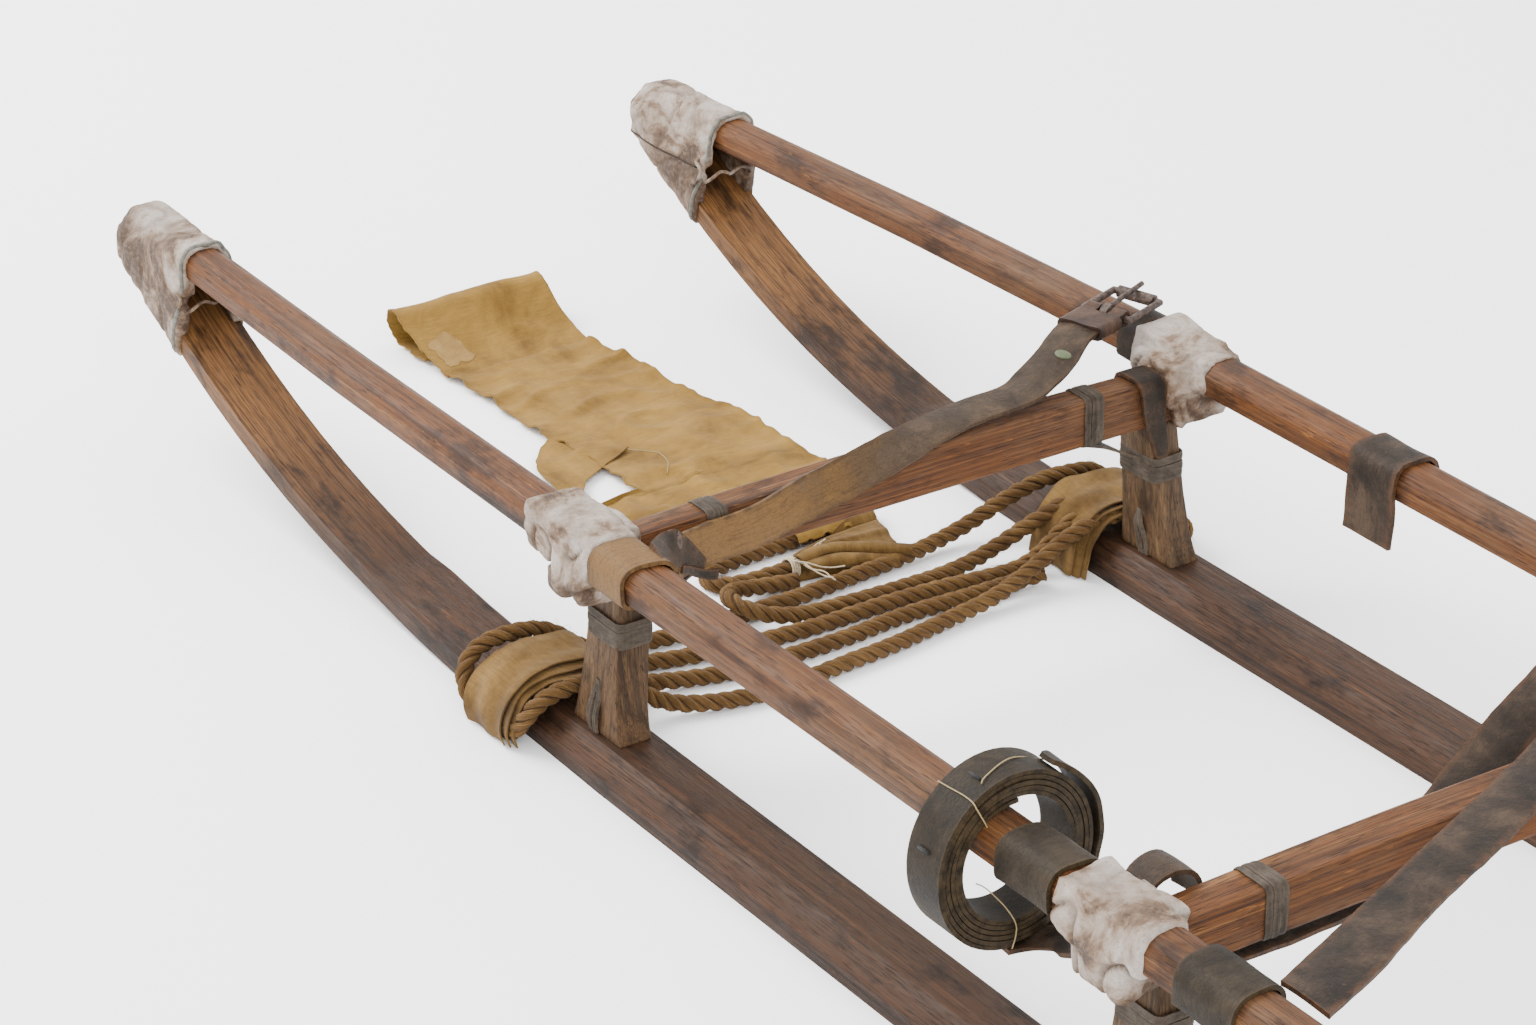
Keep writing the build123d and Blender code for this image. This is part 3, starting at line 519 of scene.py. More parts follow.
def tube(name, points, radius, material, sides=6, closed=False):
    """A round cord through the points."""
    verts, where = [], []
    side = UP
    runs = runs_of(points)
    for i, point in enumerate(points):
        ahead = heading(points, i, closed)
        side = side - ahead * side.dot(ahead)
        side = side.normalized() if side.length > 1e-6 else ahead.orthogonal().normalized()
        other = ahead.cross(side)
        for angle in circle(sides):
            verts.append(point + (side * math.cos(angle) + other * math.sin(angle)) * radius)
            where.append((radius * angle, runs[i], 0))
    rings = [[i * sides + k % sides for k in range(sides + 1)] for i in range(len(points))]
    faces = []
    for a, b in zip(rings, rings[1:] + rings[:1] if closed else rings[1:]):
        faces += [(a[k], b[k], b[k + 1], a[k + 1]) for k in range(sides)]
    if not closed:
        faces += [tuple(rings[0][:-1]), tuple(rings[-1][:-1])[::-1]]
    return shaped(name, verts, faces, material, where)


def merge(name, pieces, node):
    """Joins pieces of one material into one, which replaces a CAD node."""
    bm = bmesh.new()
    for piece in pieces:
        bm.from_mesh(piece.data)
    material = pieces[0].data.materials[0]
    for piece in pieces:
        bpy.data.objects.remove(piece)
    return add(name, mesh_of(name, bm), material, node)


# ---------------- wood
GRAIN_STEP = 0.03           # the long members' bend is followed at this spacing
ON_CUT = 0.0001
SAME_POINT = 2e-6
FLAT_ANGLE = 0.0015
SHARP_ANGLE = 0.3


def slices(points, cuts):
    """For each y where the piece was cut across: y, centre x and lowest z."""
    rows = []
    for y in cuts:
        group = [p for p in points if abs(p.y - y) < ON_CUT]
        if group:
            xs = [p.x for p in group]
            rows.append((y, (min(xs) + max(xs)) / 2, min(p.z for p in group)))
    return rows


def bent_grain(points, cuts, seed):
    """Grain that follows a long member's bend."""
    rows = slices(points, cuts)
    ys = [row[0] for row in rows]
    grain = []
    for p in points:
        k = min(max(bisect.bisect(ys, p.y), 1), len(rows) - 1)
        (y0, x0, z0), (y1, x1, z1) = rows[k - 1], rows[k]
        t = (p.y - y0) / (y1 - y0)
        grain.append((p.x - x0 - (x1 - x0) * t + seed, p.y, p.z - z0 - (z1 - z0) * t))
    return grain


def wood_piece(node, axis, material, edge, seed):
    """A copy of a CAD solid with its edges worn round and its grain direction stored."""
    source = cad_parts[node]
    bm = bmesh.new()
    bm.from_mesh(source.data)
    bm.transform(source.matrix_world)
    bmesh.ops.remove_doubles(bm, verts=bm.verts, dist=SAME_POINT)
    bmesh.ops.dissolve_limit(bm, angle_limit=FLAT_ANGLE, verts=bm.verts, edges=bm.edges)
    cuts = []
    if axis == "Y":
        low, high = min(v.co.y for v in bm.verts), max(v.co.y for v in bm.verts)
        count = int((high - low) / GRAIN_STEP)
        cuts = [low + (high - low) * k / count for k in range(1, count)]
    for y in cuts:
        bmesh.ops.bisect_plane(bm, geom=bm.verts[:] + bm.edges[:] + bm.faces[:], dist=1e-6,
                               plane_co=(0, y, 0), plane_no=(0, 1, 0))
    sharp = [e for e in bm.edges if len(e.link_faces) == 2 and e.calc_face_angle() > SHARP_ANGLE]
    bmesh.ops.bevel(bm, geom=sharp, offset=edge, segments=2, profile=0.5, affect="EDGES",
                    clamp_overlap=True)
    mesh = mesh_of(node + "_worn", bm)
    points = [v.co.copy() for v in mesh.vertices]
    if axis == "Y":
        grain = bent_grain(points, cuts, seed)
    elif axis == "X":
        grain = [(p.y + seed, p.x, p.z) for p in points]
    else:
        grain = [(p.x + seed, p.z, p.y) for p in points]
    store(mesh, "grain", grain)
    add(node + "_worn", mesh, material, node)
    mesh.set_sharp_from_angle(angle=math.radians(28))


for side, way in SIDES:
    wood_piece(f"runner_{side}", "Y", RUNNER_WOOD, 0.0018, way * 0.31)
    wood_piece(f"rail_{side}", "Y", FRAME_WOOD, 0.0016, way * 0.17)
    for number in range(1, BRIDGES + 1):
        wood_piece(f"upright_{side}_{number}", "Z", POST_WOOD, 0.0014, way * 0.11 + number)
for number in range(1, BRIDGES + 1):
    wood_piece(f"bridge_{number}", "X", FRAME_WOOD, 0.0022, number * 0.73)


# ---------------- rawhide
HIDE_OVER_WOOD = 0.0012
HIDE_VOXEL = 0.0018
PORE_DEPTH, PORE_SIZE = 0.0004, 0.004


def room_inward(point, trees):
    """How far a point may sink before it meets the wood; a point inside the wood may move freely."""
    room = 1.0
    for tree in trees:
        spot, normal, _, distance = tree.find_nearest(point)
        if (point - spot).dot(normal) > 0:
            room = min(room, distance - HIDE_OVER_WOOD)
    return max(room, -0.002)


def crease_hide(mesh, covered, fold, depth, seed, stain_and_shade, sleeve=None):
    """Moves a hide's points in and out over the covered nodes: broad swellings parted by narrow creases; stores
    painted shade for the creases and sunken hollows.

    sleeve is the height towards which the folds die out.
    """
    trees = [tree_of(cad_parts[node].data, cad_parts[node].matrix_world) for node in covered]
    normals = [v.normal.copy() for v in mesh.vertices]
    marks = []
    for v, normal in zip(mesh.vertices, normals):
        p = v.co
        swell = noise.noise(p / (fold * 1.6) + Vector((seed, 0, 0)))
        twist = Vector((p.x * 0.8 + 0.3 * p.z, p.y * 1.1 - 0.2 * p.x, p.z * 0.75 + 0.3 * p.y))
        parting = abs(noise.noise(twist / fold + Vector((0, seed, 0))))
        calm = min(1.0, max(0.25, (sleeve - p.z) / 0.012)) if sleeve else 1.0
        crease = max(0.0, 1 - parting * 6.5) * calm
        bulge = 0.35 * calm if sleeve else 0.0
        move = depth * (bulge + 0.9 * swell - 1.1 * crease ** 2) + PORE_DEPTH * noise.noise(p / PORE_SIZE)
        v.co = p + normal * max(move, -room_inward(p, trees))
        # painted shade: creases and sunken hollows get a share that the rawhide material turns brown
        marks.append(min(1.0, crease + 0.6 * max(0.0, -swell)) * stain_and_shade)
    store_rim(mesh, marks)


def shrink_mesh(name, mesh, smooth, cuts=()):
    """Blocks cut, joined and softened into one skin of hide."""
    piece = linked(name, mesh)
    for knife in cuts:
        cut = piece.modifiers.new("cut", "BOOLEAN")
        cut.operation = "DIFFERENCE"
        cut.object = knife
    solid = piece.modifiers.new("solid", "REMESH")
    solid.mode = "VOXEL"
    solid.voxel_size = HIDE_VOXEL
    soften = piece.modifiers.new("soften", "SMOOTH")
    soften.factor = 0.5
    soften.iterations = smooth
    done = bpy.data.meshes.new_from_object(piece.evaluated_get(bpy.context.evaluated_depsgraph_get()))
    for used in (piece, *cuts):
        bpy.data.objects.remove(used)
    return done


def binding(side, way, number):
    """Hide over the meeting of rail, bridge and upright: a sleeve on the rail and a knot of folds below."""
    name = f"binding_{side}_{number}_hide"
    rng = random.Random(number * 10 + way)
    hang, nose = rng.uniform(-4, 4), rng.uniform(0, 5)
    # low and high x, y and z in mm: sleeve, knot, hanging fold, fold on the upright, outer fold
    boxes = ((218.5, 250.5, -8, 14, 149, 174.5), (216, 253, 8, 62, 147, 176.5),
             (211, 250, 6 + hang, 45 + hang, 125, 150), (204, 224, 8, 49, 139, 168),
             (237, 254.5, -1 + nose, 27 + nose, 133, 157))
    y = STATION_Y - PITCH * (number - 1) / 1000
    bm = bmesh.new()
    for x0, x1, y0, y1, z0, z1 in boxes:
        for v in bmesh.ops.create_cube(bm, size=1.0)["verts"]:
            v.co = Vector((way * ((x0 + x1) / 2 + v.co.x * (x1 - x0)) / 1000,
                           y + ((y0 + y1) / 2 + v.co.y * (y1 - y0)) / 1000,
                           ((z0 + z1) / 2 + v.co.z * (z1 - z0)) / 1000))
    if way < 0:
        bmesh.ops.reverse_faces(bm, faces=bm.faces)
    mesh = shrink_mesh(name, mesh_of(name, bm), smooth=18)
    woods = (f"rail_{side}", f"bridge_{number}", f"upright_{side}_{number}")
    crease_hide(mesh, woods, fold=0.021, depth=0.0046, seed=number * 2.3 + way, stain_and_shade=1.0, sleeve=0.174)
    add(name, mesh, RAWHIDE, f"binding_{side}_{number}")


for side, way in SIDES:
    for number in range(1, BRIDGES + 1):
        binding(side, way, number)


def prism(outline, x0, x1):
    """A knife: an outline of (y, z) taken straight across."""
    bm = bmesh.new()
    near = [bm.verts.new((x0, y, z)) for y, z in outline]
    far = [bm.verts.new((x1, y, z)) for y, z in outline]
    bm.faces.new(near)
    bm.faces.new(far[::-1])
    for k in range(len(outline)):
        n = (k + 1) % len(outline)
        bm.faces.new((near[k], far[k], far[n], near[n]))
    bmesh.ops.recalc_face_normals(bm, faces=bm.faces)
    return linked("knife", mesh_of("knife", bm))


# heights as shares of a boot: its side notch, and the hollow's floor and roof at its rear and further in
BOOT_SHARES = {"front": (0.56, 0.17, 0.85, 0.48, 0.74), "rear": (0.47, 0.19, 0.72, 0.44, 0.64)}
BOOT_HOLLOW = 0.048
BOOT_WALL = 0.0170           # half the hollow's width low down
BOOT_LOFT = 0.0125           # and under the rail
NOSE_PUSH = 0.012            # how far the stuffed toe stands ahead of the wood
NOSE_RISE = NOSE_PUSH * 0.25
TOE_RUN = 0.030              # over this run the toe gets lower and narrower by these shares
TOE_LOWER, TOE_NARROWER = 0.12, 0.10
RAY_START = 0.09             # outside the hide, from a boot's middle
RIM_R, SEAM_R, LACE_R = 0.0016, 0.0007, 0.0013
# a lace at a notch: share of the boot's half width, then y and z from the notch
LACE_WALL = 0.0205
LACE = (
    (0.8, 0.012, 0.006), (1.12, 0.010, 0.006), (1.16, 0.002, 0.001), (1.24, 0.006, -0.009),
    (1.25, 0.013, -0.013), (1.0, 0.008, -0.012), (0.9, -0.002, -0.006), (0.45, -0.003, -0.001),
    (0.0, -0.002, -0.005))


def boot(end, facing, side, way):
    """The toe of hide over a runner's tip and its rail's end, laced together at a notch on each side."""
    node = f"boot_{end}_{side}"
    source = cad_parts[node]
    low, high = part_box(node)
    rear, tip = (low[1], high[1]) if facing > 0 else (high[1], low[1])
    length, height, centre = abs(tip - rear), high[2] - low[2], (low[0] + high[0]) / 2
    notch, floor_1, roof_1, floor_2, roof_2 = (low[2] + share * height for share in BOOT_SHARES[end])
    back, deep = rear - facing * 0.01, rear + facing * BOOT_HOLLOW
    sideways = (-0.6, 0.6)
    knives = (prism([(back, floor_1 - 0.006), (back, notch), (deep, notch), (deep, floor_2)],
                    centre - BOOT_WALL, centre + BOOT_WALL),
              prism([(back, notch - 0.001), (back, roof_1), (deep, roof_2), (deep, notch - 0.001)],
                    centre - BOOT_LOFT, centre + BOOT_LOFT),
              prism([(back, notch - 0.006), (back, notch + 0.006), (rear + facing * 0.01, notch)], *sideways),
              prism([(back, low[2] - 0.01), (rear + facing * 0.013, low[2] - 0.01), (rear, notch - 0.003),
                     (back, notch - 0.003)], *sideways))
    mesh = source.data.copy()
    mesh.transform(source.matrix_world)
    hide = shrink_mesh(node + "_hide", mesh, 8, knives)
    middle = (low[2] + high[2]) / 2 + 0.006
    for v in hide.vertices:
        taper = min(max(1 - facing * (tip - v.co.y) / TOE_RUN, 0.0), 1.0) ** 2
        v.co.z = middle + (v.co.z - middle) * (1 - TOE_LOWER * taper)
        v.co.x = centre + (v.co.x - centre) * (1 - TOE_NARROWER * taper)
        reach = min(max(facing * (v.co.y - rear) / length, 0.0), 1.0)
        v.co += Vector((0, facing * NOSE_PUSH, NOSE_RISE)) * reach ** 2
    hide.update()
    woods = (f"rail_{side}", f"runner_{side}")
    crease_hide(hide, woods, fold=0.030, depth=0.0014, seed=way * 3.1 + facing, stain_and_shade=0.4)
    add(node + "_hide", hide, RAWHIDE, node)
    tree = tree_of(hide)

    def rim(label, angles, above, inset, sweep):
        """The hide's thick edge above or below the notch: where rays towards the boot's middle meet it."""
        line = []
        for angle in (math.radians(a) for a in angles):
            out = Vector((math.cos(angle), 0, math.sin(angle)))
            y = rear + facing * (inset - sweep * math.sin(angle))
            start = Vector((centre, y, notch + above)) + out * RAY_START
            hit = tree.ray_cast(start, -out)[0]
            if hit is not None and (hit - start).length < RAY_START - 0.001:
                line.append(hit)
        if len(line) > 6:
            tube(f"{node}_rim_{label}", curve(line, 0.003), RIM_R, RIM_HIDE, 8)

    rim("upper", range(4, 180, 8), above=0.004, inset=0.0022, sweep=0.0)
    rim("lower", range(184, 358, 8), above=-0.004, inset=0.0028, sweep=0.013)
    seam = []
    for k in range(24):
        reach = 0.012 + (length + NOSE_PUSH - 0.014) * k / 23
        rise = NOSE_RISE * min(reach / length, 1.0) ** 2
        start = Vector((centre - way * RAY_START, rear + facing * reach, notch + rise))
        hit = tree.ray_cast(start, Vector((way, 0, 0)))[0]
        if hit is not None and (centre - hit.x) * way > 0.004:
            seam.append(hit - Vector((way * 0.0002, 0, 0)))
    tube(f"{node}_seam", curve(seam, 0.003), SEAM_R, STRAP_DARK)
    for s in (-1, 1):
        points = [Vector((centre + s * LACE_WALL * share, rear + facing * y, notch + z))
                  for share, y, z in LACE]
        tube(f"{node}_lace_{s}", curve(points, 0.002), LACE_R, RAWHIDE, 7)


for end, facing in (("front", 1), ("rear", -1)):
    for side, way in SIDES:
        boot(end, facing, side, way)


# ---------------- leather straps
# rows of both edges in mm: left or upper edge x, y, z, then the other edge
LEATHER_T = 0.003
FRONT_STRAP = (
    (-190, -4, 160, -189, -4, 131), (-176, 6, 157, -174, 6, 128), (-156, 11.2, 156, -153, 11.2, 127),
    (-131, 11.3, 157, -127, 11.3, 128), (-109, 11.6, 161, -105, 11.4, 131), (-85, 13.2, 167, -84, 9, 137),
    (-61, 15.5, 170, -60, 6, 144), (-20, 25.5, 171, -18, 3.5, 156), (22, 37, 169, 24, 11, 164),
    (60, 44, 168, 62, 17, 166), (91, 44, 170, 99, 18, 168), (115, 54, 173, 125, 27, 171),
    (138, 65, 177, 149, 38, 176.5), (162.4, 77.4, 183, 171.6, 50.5, 183),
    (189.9, 86.7, 183, 199, 59.9, 183))
STRAP_TAB = (
    (-222, -28, 176, -226, -46, 174), (-209, -16, 173, -214, -38, 167), (-198, -9, 170, -203, -24, 153),
    (-189, -2, 166, -193, -12, 145), (-181, 4, 160, -185, -3, 140), (-172, 6, 150, -176, 3, 135),
    (-160, 7.5, 134, -163, 6.5, 129))
TAB_TAIL = (
    (-184, -4, 141, -185, -4, 136), (-170, 3, 133, -171, 3, 127), (-158, 5, 127, -160, 5, 121),
    (-152, 5, 126, -153, 5, 119))
SHORT_STRAP = tuple((x, -152, z, x, -195, z) for x, z in (
    (252, 150), (252, 165), (248, 171.5), (242, 174), (227, 174), (221, 171.5), (217.3, 165), (217.3, 142),
    (216, 118)))
CROSS_STRAP_OVER = (
    (-214, -599, 168, -214, -636, 168), (-153, -574, 167, -164, -617, 167),
    (-79, -543, 165, -95, -584, 165), (-10, -514, 163, -14, -551, 163), (66, -483, 164, 60, -519, 164),
    (140, -450, 167, 150, -484, 167), (214, -423, 169, 214, -459, 169))
CROSS_STRAP_UNDER = (
    (-187, -485, 121, -187, -514, 121), (-150, -484, 119, -150, -514, 119),
    (-100, -481, 117, -100, -512, 118), (-50, -474, 119, -52, -507, 120), (-5, -459, 124, -4, -494, 124),
    (40, -444, 140, 48, -472, 132), (95, -425, 152, 104, -450, 144), (155, -403, 159, 162, -430, 153),
    (214, -384, 164, 214, -412, 160))
STRAP_END_2 = (
    (-211, -466, 158, -211, -487, 158), (-203, -465, 165, -203, -487, 165),
    (-192, -463, 168, -191, -487, 168), (-180, -461, 164, -178, -485, 163),
    (-172, -460, 153, -170, -483, 152), (-169, -459, 143, -167, -481, 141))
COIL_TAIL = (
    (-228, -366, 84, -228, -395, 84), (-210, -368, 84, -217, -398, 84), (-200, -386, 88, -215, -414, 91),
    (-201, -425, 97, -222, -432, 100), (-204, -448, 108, -227, -449, 110),
    (-206, -467, 118, -229, -467, 118))
COIL_END = (
    (-215, -366, 86, -215, -395, 86), (-198, -366, 90, -198, -395, 90),
    (-183, -366, 100, -183, -395, 100), (-172, -366, 116, -172, -395, 116),
    (-167, -366, 136, -167, -395, 136), (-168, -366, 155, -168, -395, 155),
    (-175, -367, 171, -175, -395, 171), (-187, -371, 184, -187, -394, 184),
    (-198, -379, 191, -198, -391, 191))
for node, rows, material, curl in (("front_strap", FRONT_STRAP, STRAP_BROWN, 0.0012),
                                   ("front_strap_tab", STRAP_TAB, STRAP_DARK, 0.0006),
                                   ("short_strap", SHORT_STRAP, STRAP_DARK, 0.0005),
                                   ("cross_strap_over", CROSS_STRAP_OVER, STRAP_DARK, 0.0010),
                                   ("cross_strap_under", CROSS_STRAP_UNDER, STRAP_DARK, 0.0010),
                                   ("strap_end_2", STRAP_END_2, STRAP_DARK, 0.0005),
                                   ("coil_tail", COIL_TAIL, STRAP_DARK, 0.0008),
                                   ("coil_end", COIL_END, STRAP_GREY, 0.0003)):
    strap(node + "_skin", rows, LEATHER_T, material, node, curl=curl)

# the roll on the left rail
COIL_X, COIL_Z = -0.224, 0.1415
COIL_REAR, COIL_FRONT = STATION_Y - 0.395, STATION_Y - 0.366
COIL_EYE, COIL_PITCH = 0.0366, 0.0030
COIL_SWEEP = 11 * math.pi
COIL_ROWS = 300
# the roll's strings, and the angles of the slits in its outer turn, drawn as thin near-black tubes of painted
# shade
COIL_STRINGS = (
    ((-255.5, -365, 185.9), (-255, -376, 186.4), (-254.4, -386, 186.9), (-254.4, -394.5, 186.5),
     (-253.6, -397, 183.5), (-246.7, -397, 170.8), (-241.8, -395.5, 161.2), (-240.5, -391, 159)),
    ((-246, -388, 130.5), (-243, -393, 129), (-233.2, -396.6, 116.7), (-225.4, -397, 103.3),
     (-225.1, -397, 95), (-227, -396.6, 87.5)),
    ((-244.8, -389, 192.2), (-239.5, -386, 193.9), (-218.4, -380, 195.3), (-192.2, -375, 183.7)))
THREAD_R = 0.0004
COIL_SLITS = (0.36, 1.27)
SLIT_RADIUS = 0.0541


def coil_grid():
    """The turns of the roll, a little out of round and out of line."""
    rows = []
    for step in range(COIL_ROWS + 1):
        angle = COIL_SWEEP * step / COIL_ROWS
        radius = COIL_EYE + COIL_PITCH * angle / (2 * math.pi)
        radius += 0.0009 * math.sin(angle * 2.0 + 0.7) * min(1.0, angle / 3)
        x, z = COIL_X - math.sin(angle) * radius, COIL_Z + math.cos(angle) * radius
        shift = 0.0016 * wobble(Vector((angle, 0, 0)), 1.7, 3.0)
        rows.append([Vector((x, COIL_REAR + (COIL_FRONT - COIL_REAR) * t + shift, z))
                     for t in (0.0, 0.04, 0.2, 0.5, 0.8, 0.96, 1.0)])
    return rows


skin("strap_coil_skin", coil_grid(), 0.0025, STRAP_GREY, "strap_coil", rim_run=0.0012)
for k, spots in enumerate(COIL_STRINGS):
    tube(f"coil_string_{k}", curve([place(*spot) for spot in spots], 0.002), THREAD_R, THREAD)
# each slit is a near-black tube of painted shade laid on the outer turn
for k, angle in enumerate(COIL_SLITS):
    radial = Vector((-math.sin(angle), 0, math.cos(angle))) * SLIT_RADIUS
    ends = [Vector((COIL_X, STATION_Y + y / 1000, COIL_Z)) + radial for y in (-385, -376)]
    tube(f"coil_slit_{k}", ends, 0.0011, HOLE_SHADE)


# ---------------- bands, loops and lashings
RAIL_X, RAIL_Z = 234.5, 161
RAIL_WIDTH = 31.0
RAIL_OUTLINE = (
    (-13, -11.25), (13, -11.25), (15.5, -8.75), (15.5, 3.25), (12, 8.65), (6.5, 11.25), (-6.5, 11.25),
    (-12, 8.65), (-15.5, 3.25), (-15.5, -8.75))
BAND_GROW = 2.0
BAND_T = 0.0028
BAND_ROUGH, BAND_WAVE = 0.0007, 0.013


def ring_path(outline, grow, count=48):
    """A closed outline in mm pushed out and rounded, as evenly spread (a, b) pairs."""
    pushed = [(a + grow * (1 if a > 0 else -1), b + grow * (1 if b > 0 else -1)) for a, b in outline]
    following = pushed[1:] + pushed[:1]
    spans = [math.dist(a, b) for a, b in zip(pushed, following)]
    out = []
    for k in range(count):
        run = sum(spans) * k / count
        i = 0
        while run > spans[i]:
            run -= spans[i]
            i += 1
        (a0, b0), (a1, b1) = pushed[i], following[i]
        t = run / spans[i]
        out.append((a0 + (a1 - a0) * t, b0 + (b1 - b0) * t))
    for _ in range(2):
        out = [tuple((u + 2 * v + w) / 4 for u, v, w in zip(out[i - 1], out[i], out[(i + 1) % count]))
               for i in range(count)]
    return out


def rail_ring(name, node, way, rear, front, slant, material):
    """A leather band round a side rail, from its rear to its front edge in mm."""
    grid = []
    for a, b in ring_path(RAIL_OUTLINE, BAND_GROW):
        lean = slant * (0.5 - a / RAIL_WIDTH) * way * -1
        out = Vector((a, 0, b)).normalized()
        row = []
        for t in (0.0, 0.03, 0.15, 0.35, 0.65, 0.85, 0.97, 1.0):
            point = place(way * RAIL_X + a, rear + (front - rear) * t + lean, RAIL_Z + b)
            row.append(point + out * (BAND_ROUGH * wobble(point, BAND_WAVE, 1.0)))
        grid.append(row)
    skin(name, grid[::-1] if way > 0 else grid, BAND_T, material, node, ring=True)


rail_ring("front_strap_loop_skin", "front_strap_loop", -1, -50, -13, 5, STRAP_BROWN)
rail_ring("buckle_band_skin", "buckle_band", 1, 63, 81, 0, STRAP_DARK)
rail_ring("rail_band_1", "rail_bands", -1, -461, -415, 2, STRAP_GREY)
rail_ring("rail_band_2", "rail_bands", -1, -606, -560, -2, STRAP_GREY)

THONG_TURNS = 3
FLAT_THONG = 0.0018


def wraps(name, centre, axis, outline, pitch, width, seed):
    """Turns of flat thong side by side round a member. axis is the member's own direction."""
    pieces = []
    path = ring_path(outline, 0.5, 40)
    for n in range(THONG_TURNS):
        grid = []
        tilt = 0.35 * math.sin(seed + n * 2.1)
        for k, (a, b) in enumerate(path):
            out = Vector((0, a, b) if axis == "X" else (a, b, 0)).normalized()
            skew = tilt * math.sin(2 * math.pi * k / len(path))
            row = []
            for t in (-0.5, -0.42, 0.0, 0.42, 0.5):
                along = (n - (THONG_TURNS - 1) / 2) * pitch + t * width + skew
                local = (along, a, b) if axis == "X" else (a, b, along)
                point = place(*(middle + part for middle, part in zip(centre, local)))
                crown = 0.00035 * (1 - (2 * t) ** 2) + 0.0003 * wobble(point, 0.006, seed)
                row.append(point + out * (crown + 0.00025 * (n % 2)))
            grid.append(row)
        pieces.append(skin(f"{name}_{n}", grid if axis == "Z" else grid[::-1], 0.0012, THONG, ring=True,
                           rim_run=0.0008))
    return pieces


def box_outline(half_a, half_b):
    """A member's rectangular outline."""
    return ((-half_a, -half_b), (half_a, -half_b), (half_a, half_b), (-half_a, half_b))


def thong(name, rows, curl, seed=1.0):
    return strap(name, rows, FLAT_THONG, THONG, columns=5, curl=curl, seed=seed)


def foot_rows(way, behind, face, lean):
    """A thong on one face of an upright's foot, narrow and leaning, from the runner up."""
    spots = ((216 + face * 13.0, 26 + lean, 25.5, 25.5), (216 + face * 13.8, 27 + lean * 1.6, 36, 36),
             (212 + face * 13.4, 28 + lean, 50, 50), (212 + face * 12.2, 28, 59, 60))
    return [(way * x, behind + y, z0, way * x, behind + y + 4, z1) for x, y, z0, z1 in spots]


def strut_rows(way, behind, low):
    """A thong from under a bridge's lashing, whose lower face is given, out and down to the upright."""
    spots = ((LASHING_X, 21, 30, low - 3, low - 3), (160, 20, 30, low - 8, low - 7), (180, 21, 29, 108, 107),
             (193, 21, 30, 101, 101))
    return [(way * x, behind + y0, z0, way * x, behind + y1, z1) for x, y0, y1, z0, z1 in spots]


BRIDGE_TOP, LASHING_TOP = 157.5, 159.6
LASHING_X = 146
BARE_JOINT = (-1, 2)        # the left second upright has no strut thong
lashings, struts, feet, posts = [], [], [], []
for side, way in SIDES:
    for number in range(1, BRIDGES + 1):
        behind = -PITCH * (number - 1)
        rear, front, height = (15, 36, 31.5) if number == 1 else (9, 36, 29.5)
        low = BRIDGE_TOP - height
        centre = (way * LASHING_X, behind + (rear + front) / 2, (LASHING_TOP + low) / 2)
        outline = box_outline((front - rear) / 2, (LASHING_TOP - low) / 2)
        lashings += wraps(f"lash_{side}_{number}", centre, "X", outline, pitch=5.0, width=4.7,
                          seed=number + way)
        posts += wraps(f"post_{side}_{number}", (way * 207.7, behind + 30.2, 94.5), "Z",
                       box_outline(12, 18.3), pitch=6.0, width=5.6, seed=number * 2 + way)
        if (way, number) != BARE_JOINT:
            struts.append(thong(f"strut_{side}_{number}", strut_rows(way, behind, low), curl=0.0003))
        for face in (-1, 1):
            for n, lean in ((0, -2.0), (1, 2.4)):
                rows = foot_rows(way, behind, face, lean)
                feet.append(thong(f"foot_{side}_{number}_{face}_{n}", rows, curl=0.0004, seed=n + number))
merge("bridge_lashings_thong", lashings, "bridge_lashings")
merge("upright_lashings_thong", posts, "upright_lashings")
merge("strut_thongs_thong", struts, "strut_thongs")
merge("foot_thongs_thong", feet, "foot_thongs")

# a patch folded over the first bridge's right end, its tongue down the upright's rear face:
# left x, right x, y and z
PATCH = (
    (196, 204, 10.0, 105), (192, 204, 10.8, 116), (188, 203.5, 12.0, 127), (185, 203, 12.4, 140),
    (182, 202.5, 12.8, 157), (181, 202, 16, 160.4), (181, 202, 25, 160.8), (181, 202, 34, 160.4),
    (181, 202, 38.2, 156), (181, 202, 38.2, 136))
strap("end_leather_skin", [(a, y, z, b, y, z) for a, b, y, z in PATCH], 0.0026, STRAP_DARK, "end_leather",
      curl=0.0003)

# ---------------- buckle and keeper
for node in ("buckle_frame", "buckle_tongue"):
    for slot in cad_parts[node].material_slots:
        slot.material = IRON
BUCKLE = Matrix.Translation(place(220, 82, 183)) @ Matrix.Rotation(math.radians(18.8), 4, "Z")
KEEPER_T = 0.0024
# the strap's end folded back round the buckle's bar, on each side of the tongue: across it, in mm
FOLD_ACROSS = (4.6, 5, 10, 14.4, 14.8)
FOLD_RADIUS = 4.1


def on_buckle(x, y, z):
    """A point given in mm along, across and above the buckle."""
    return BUCKLE @ Vector((x / 1000, y / 1000, z / 1000))


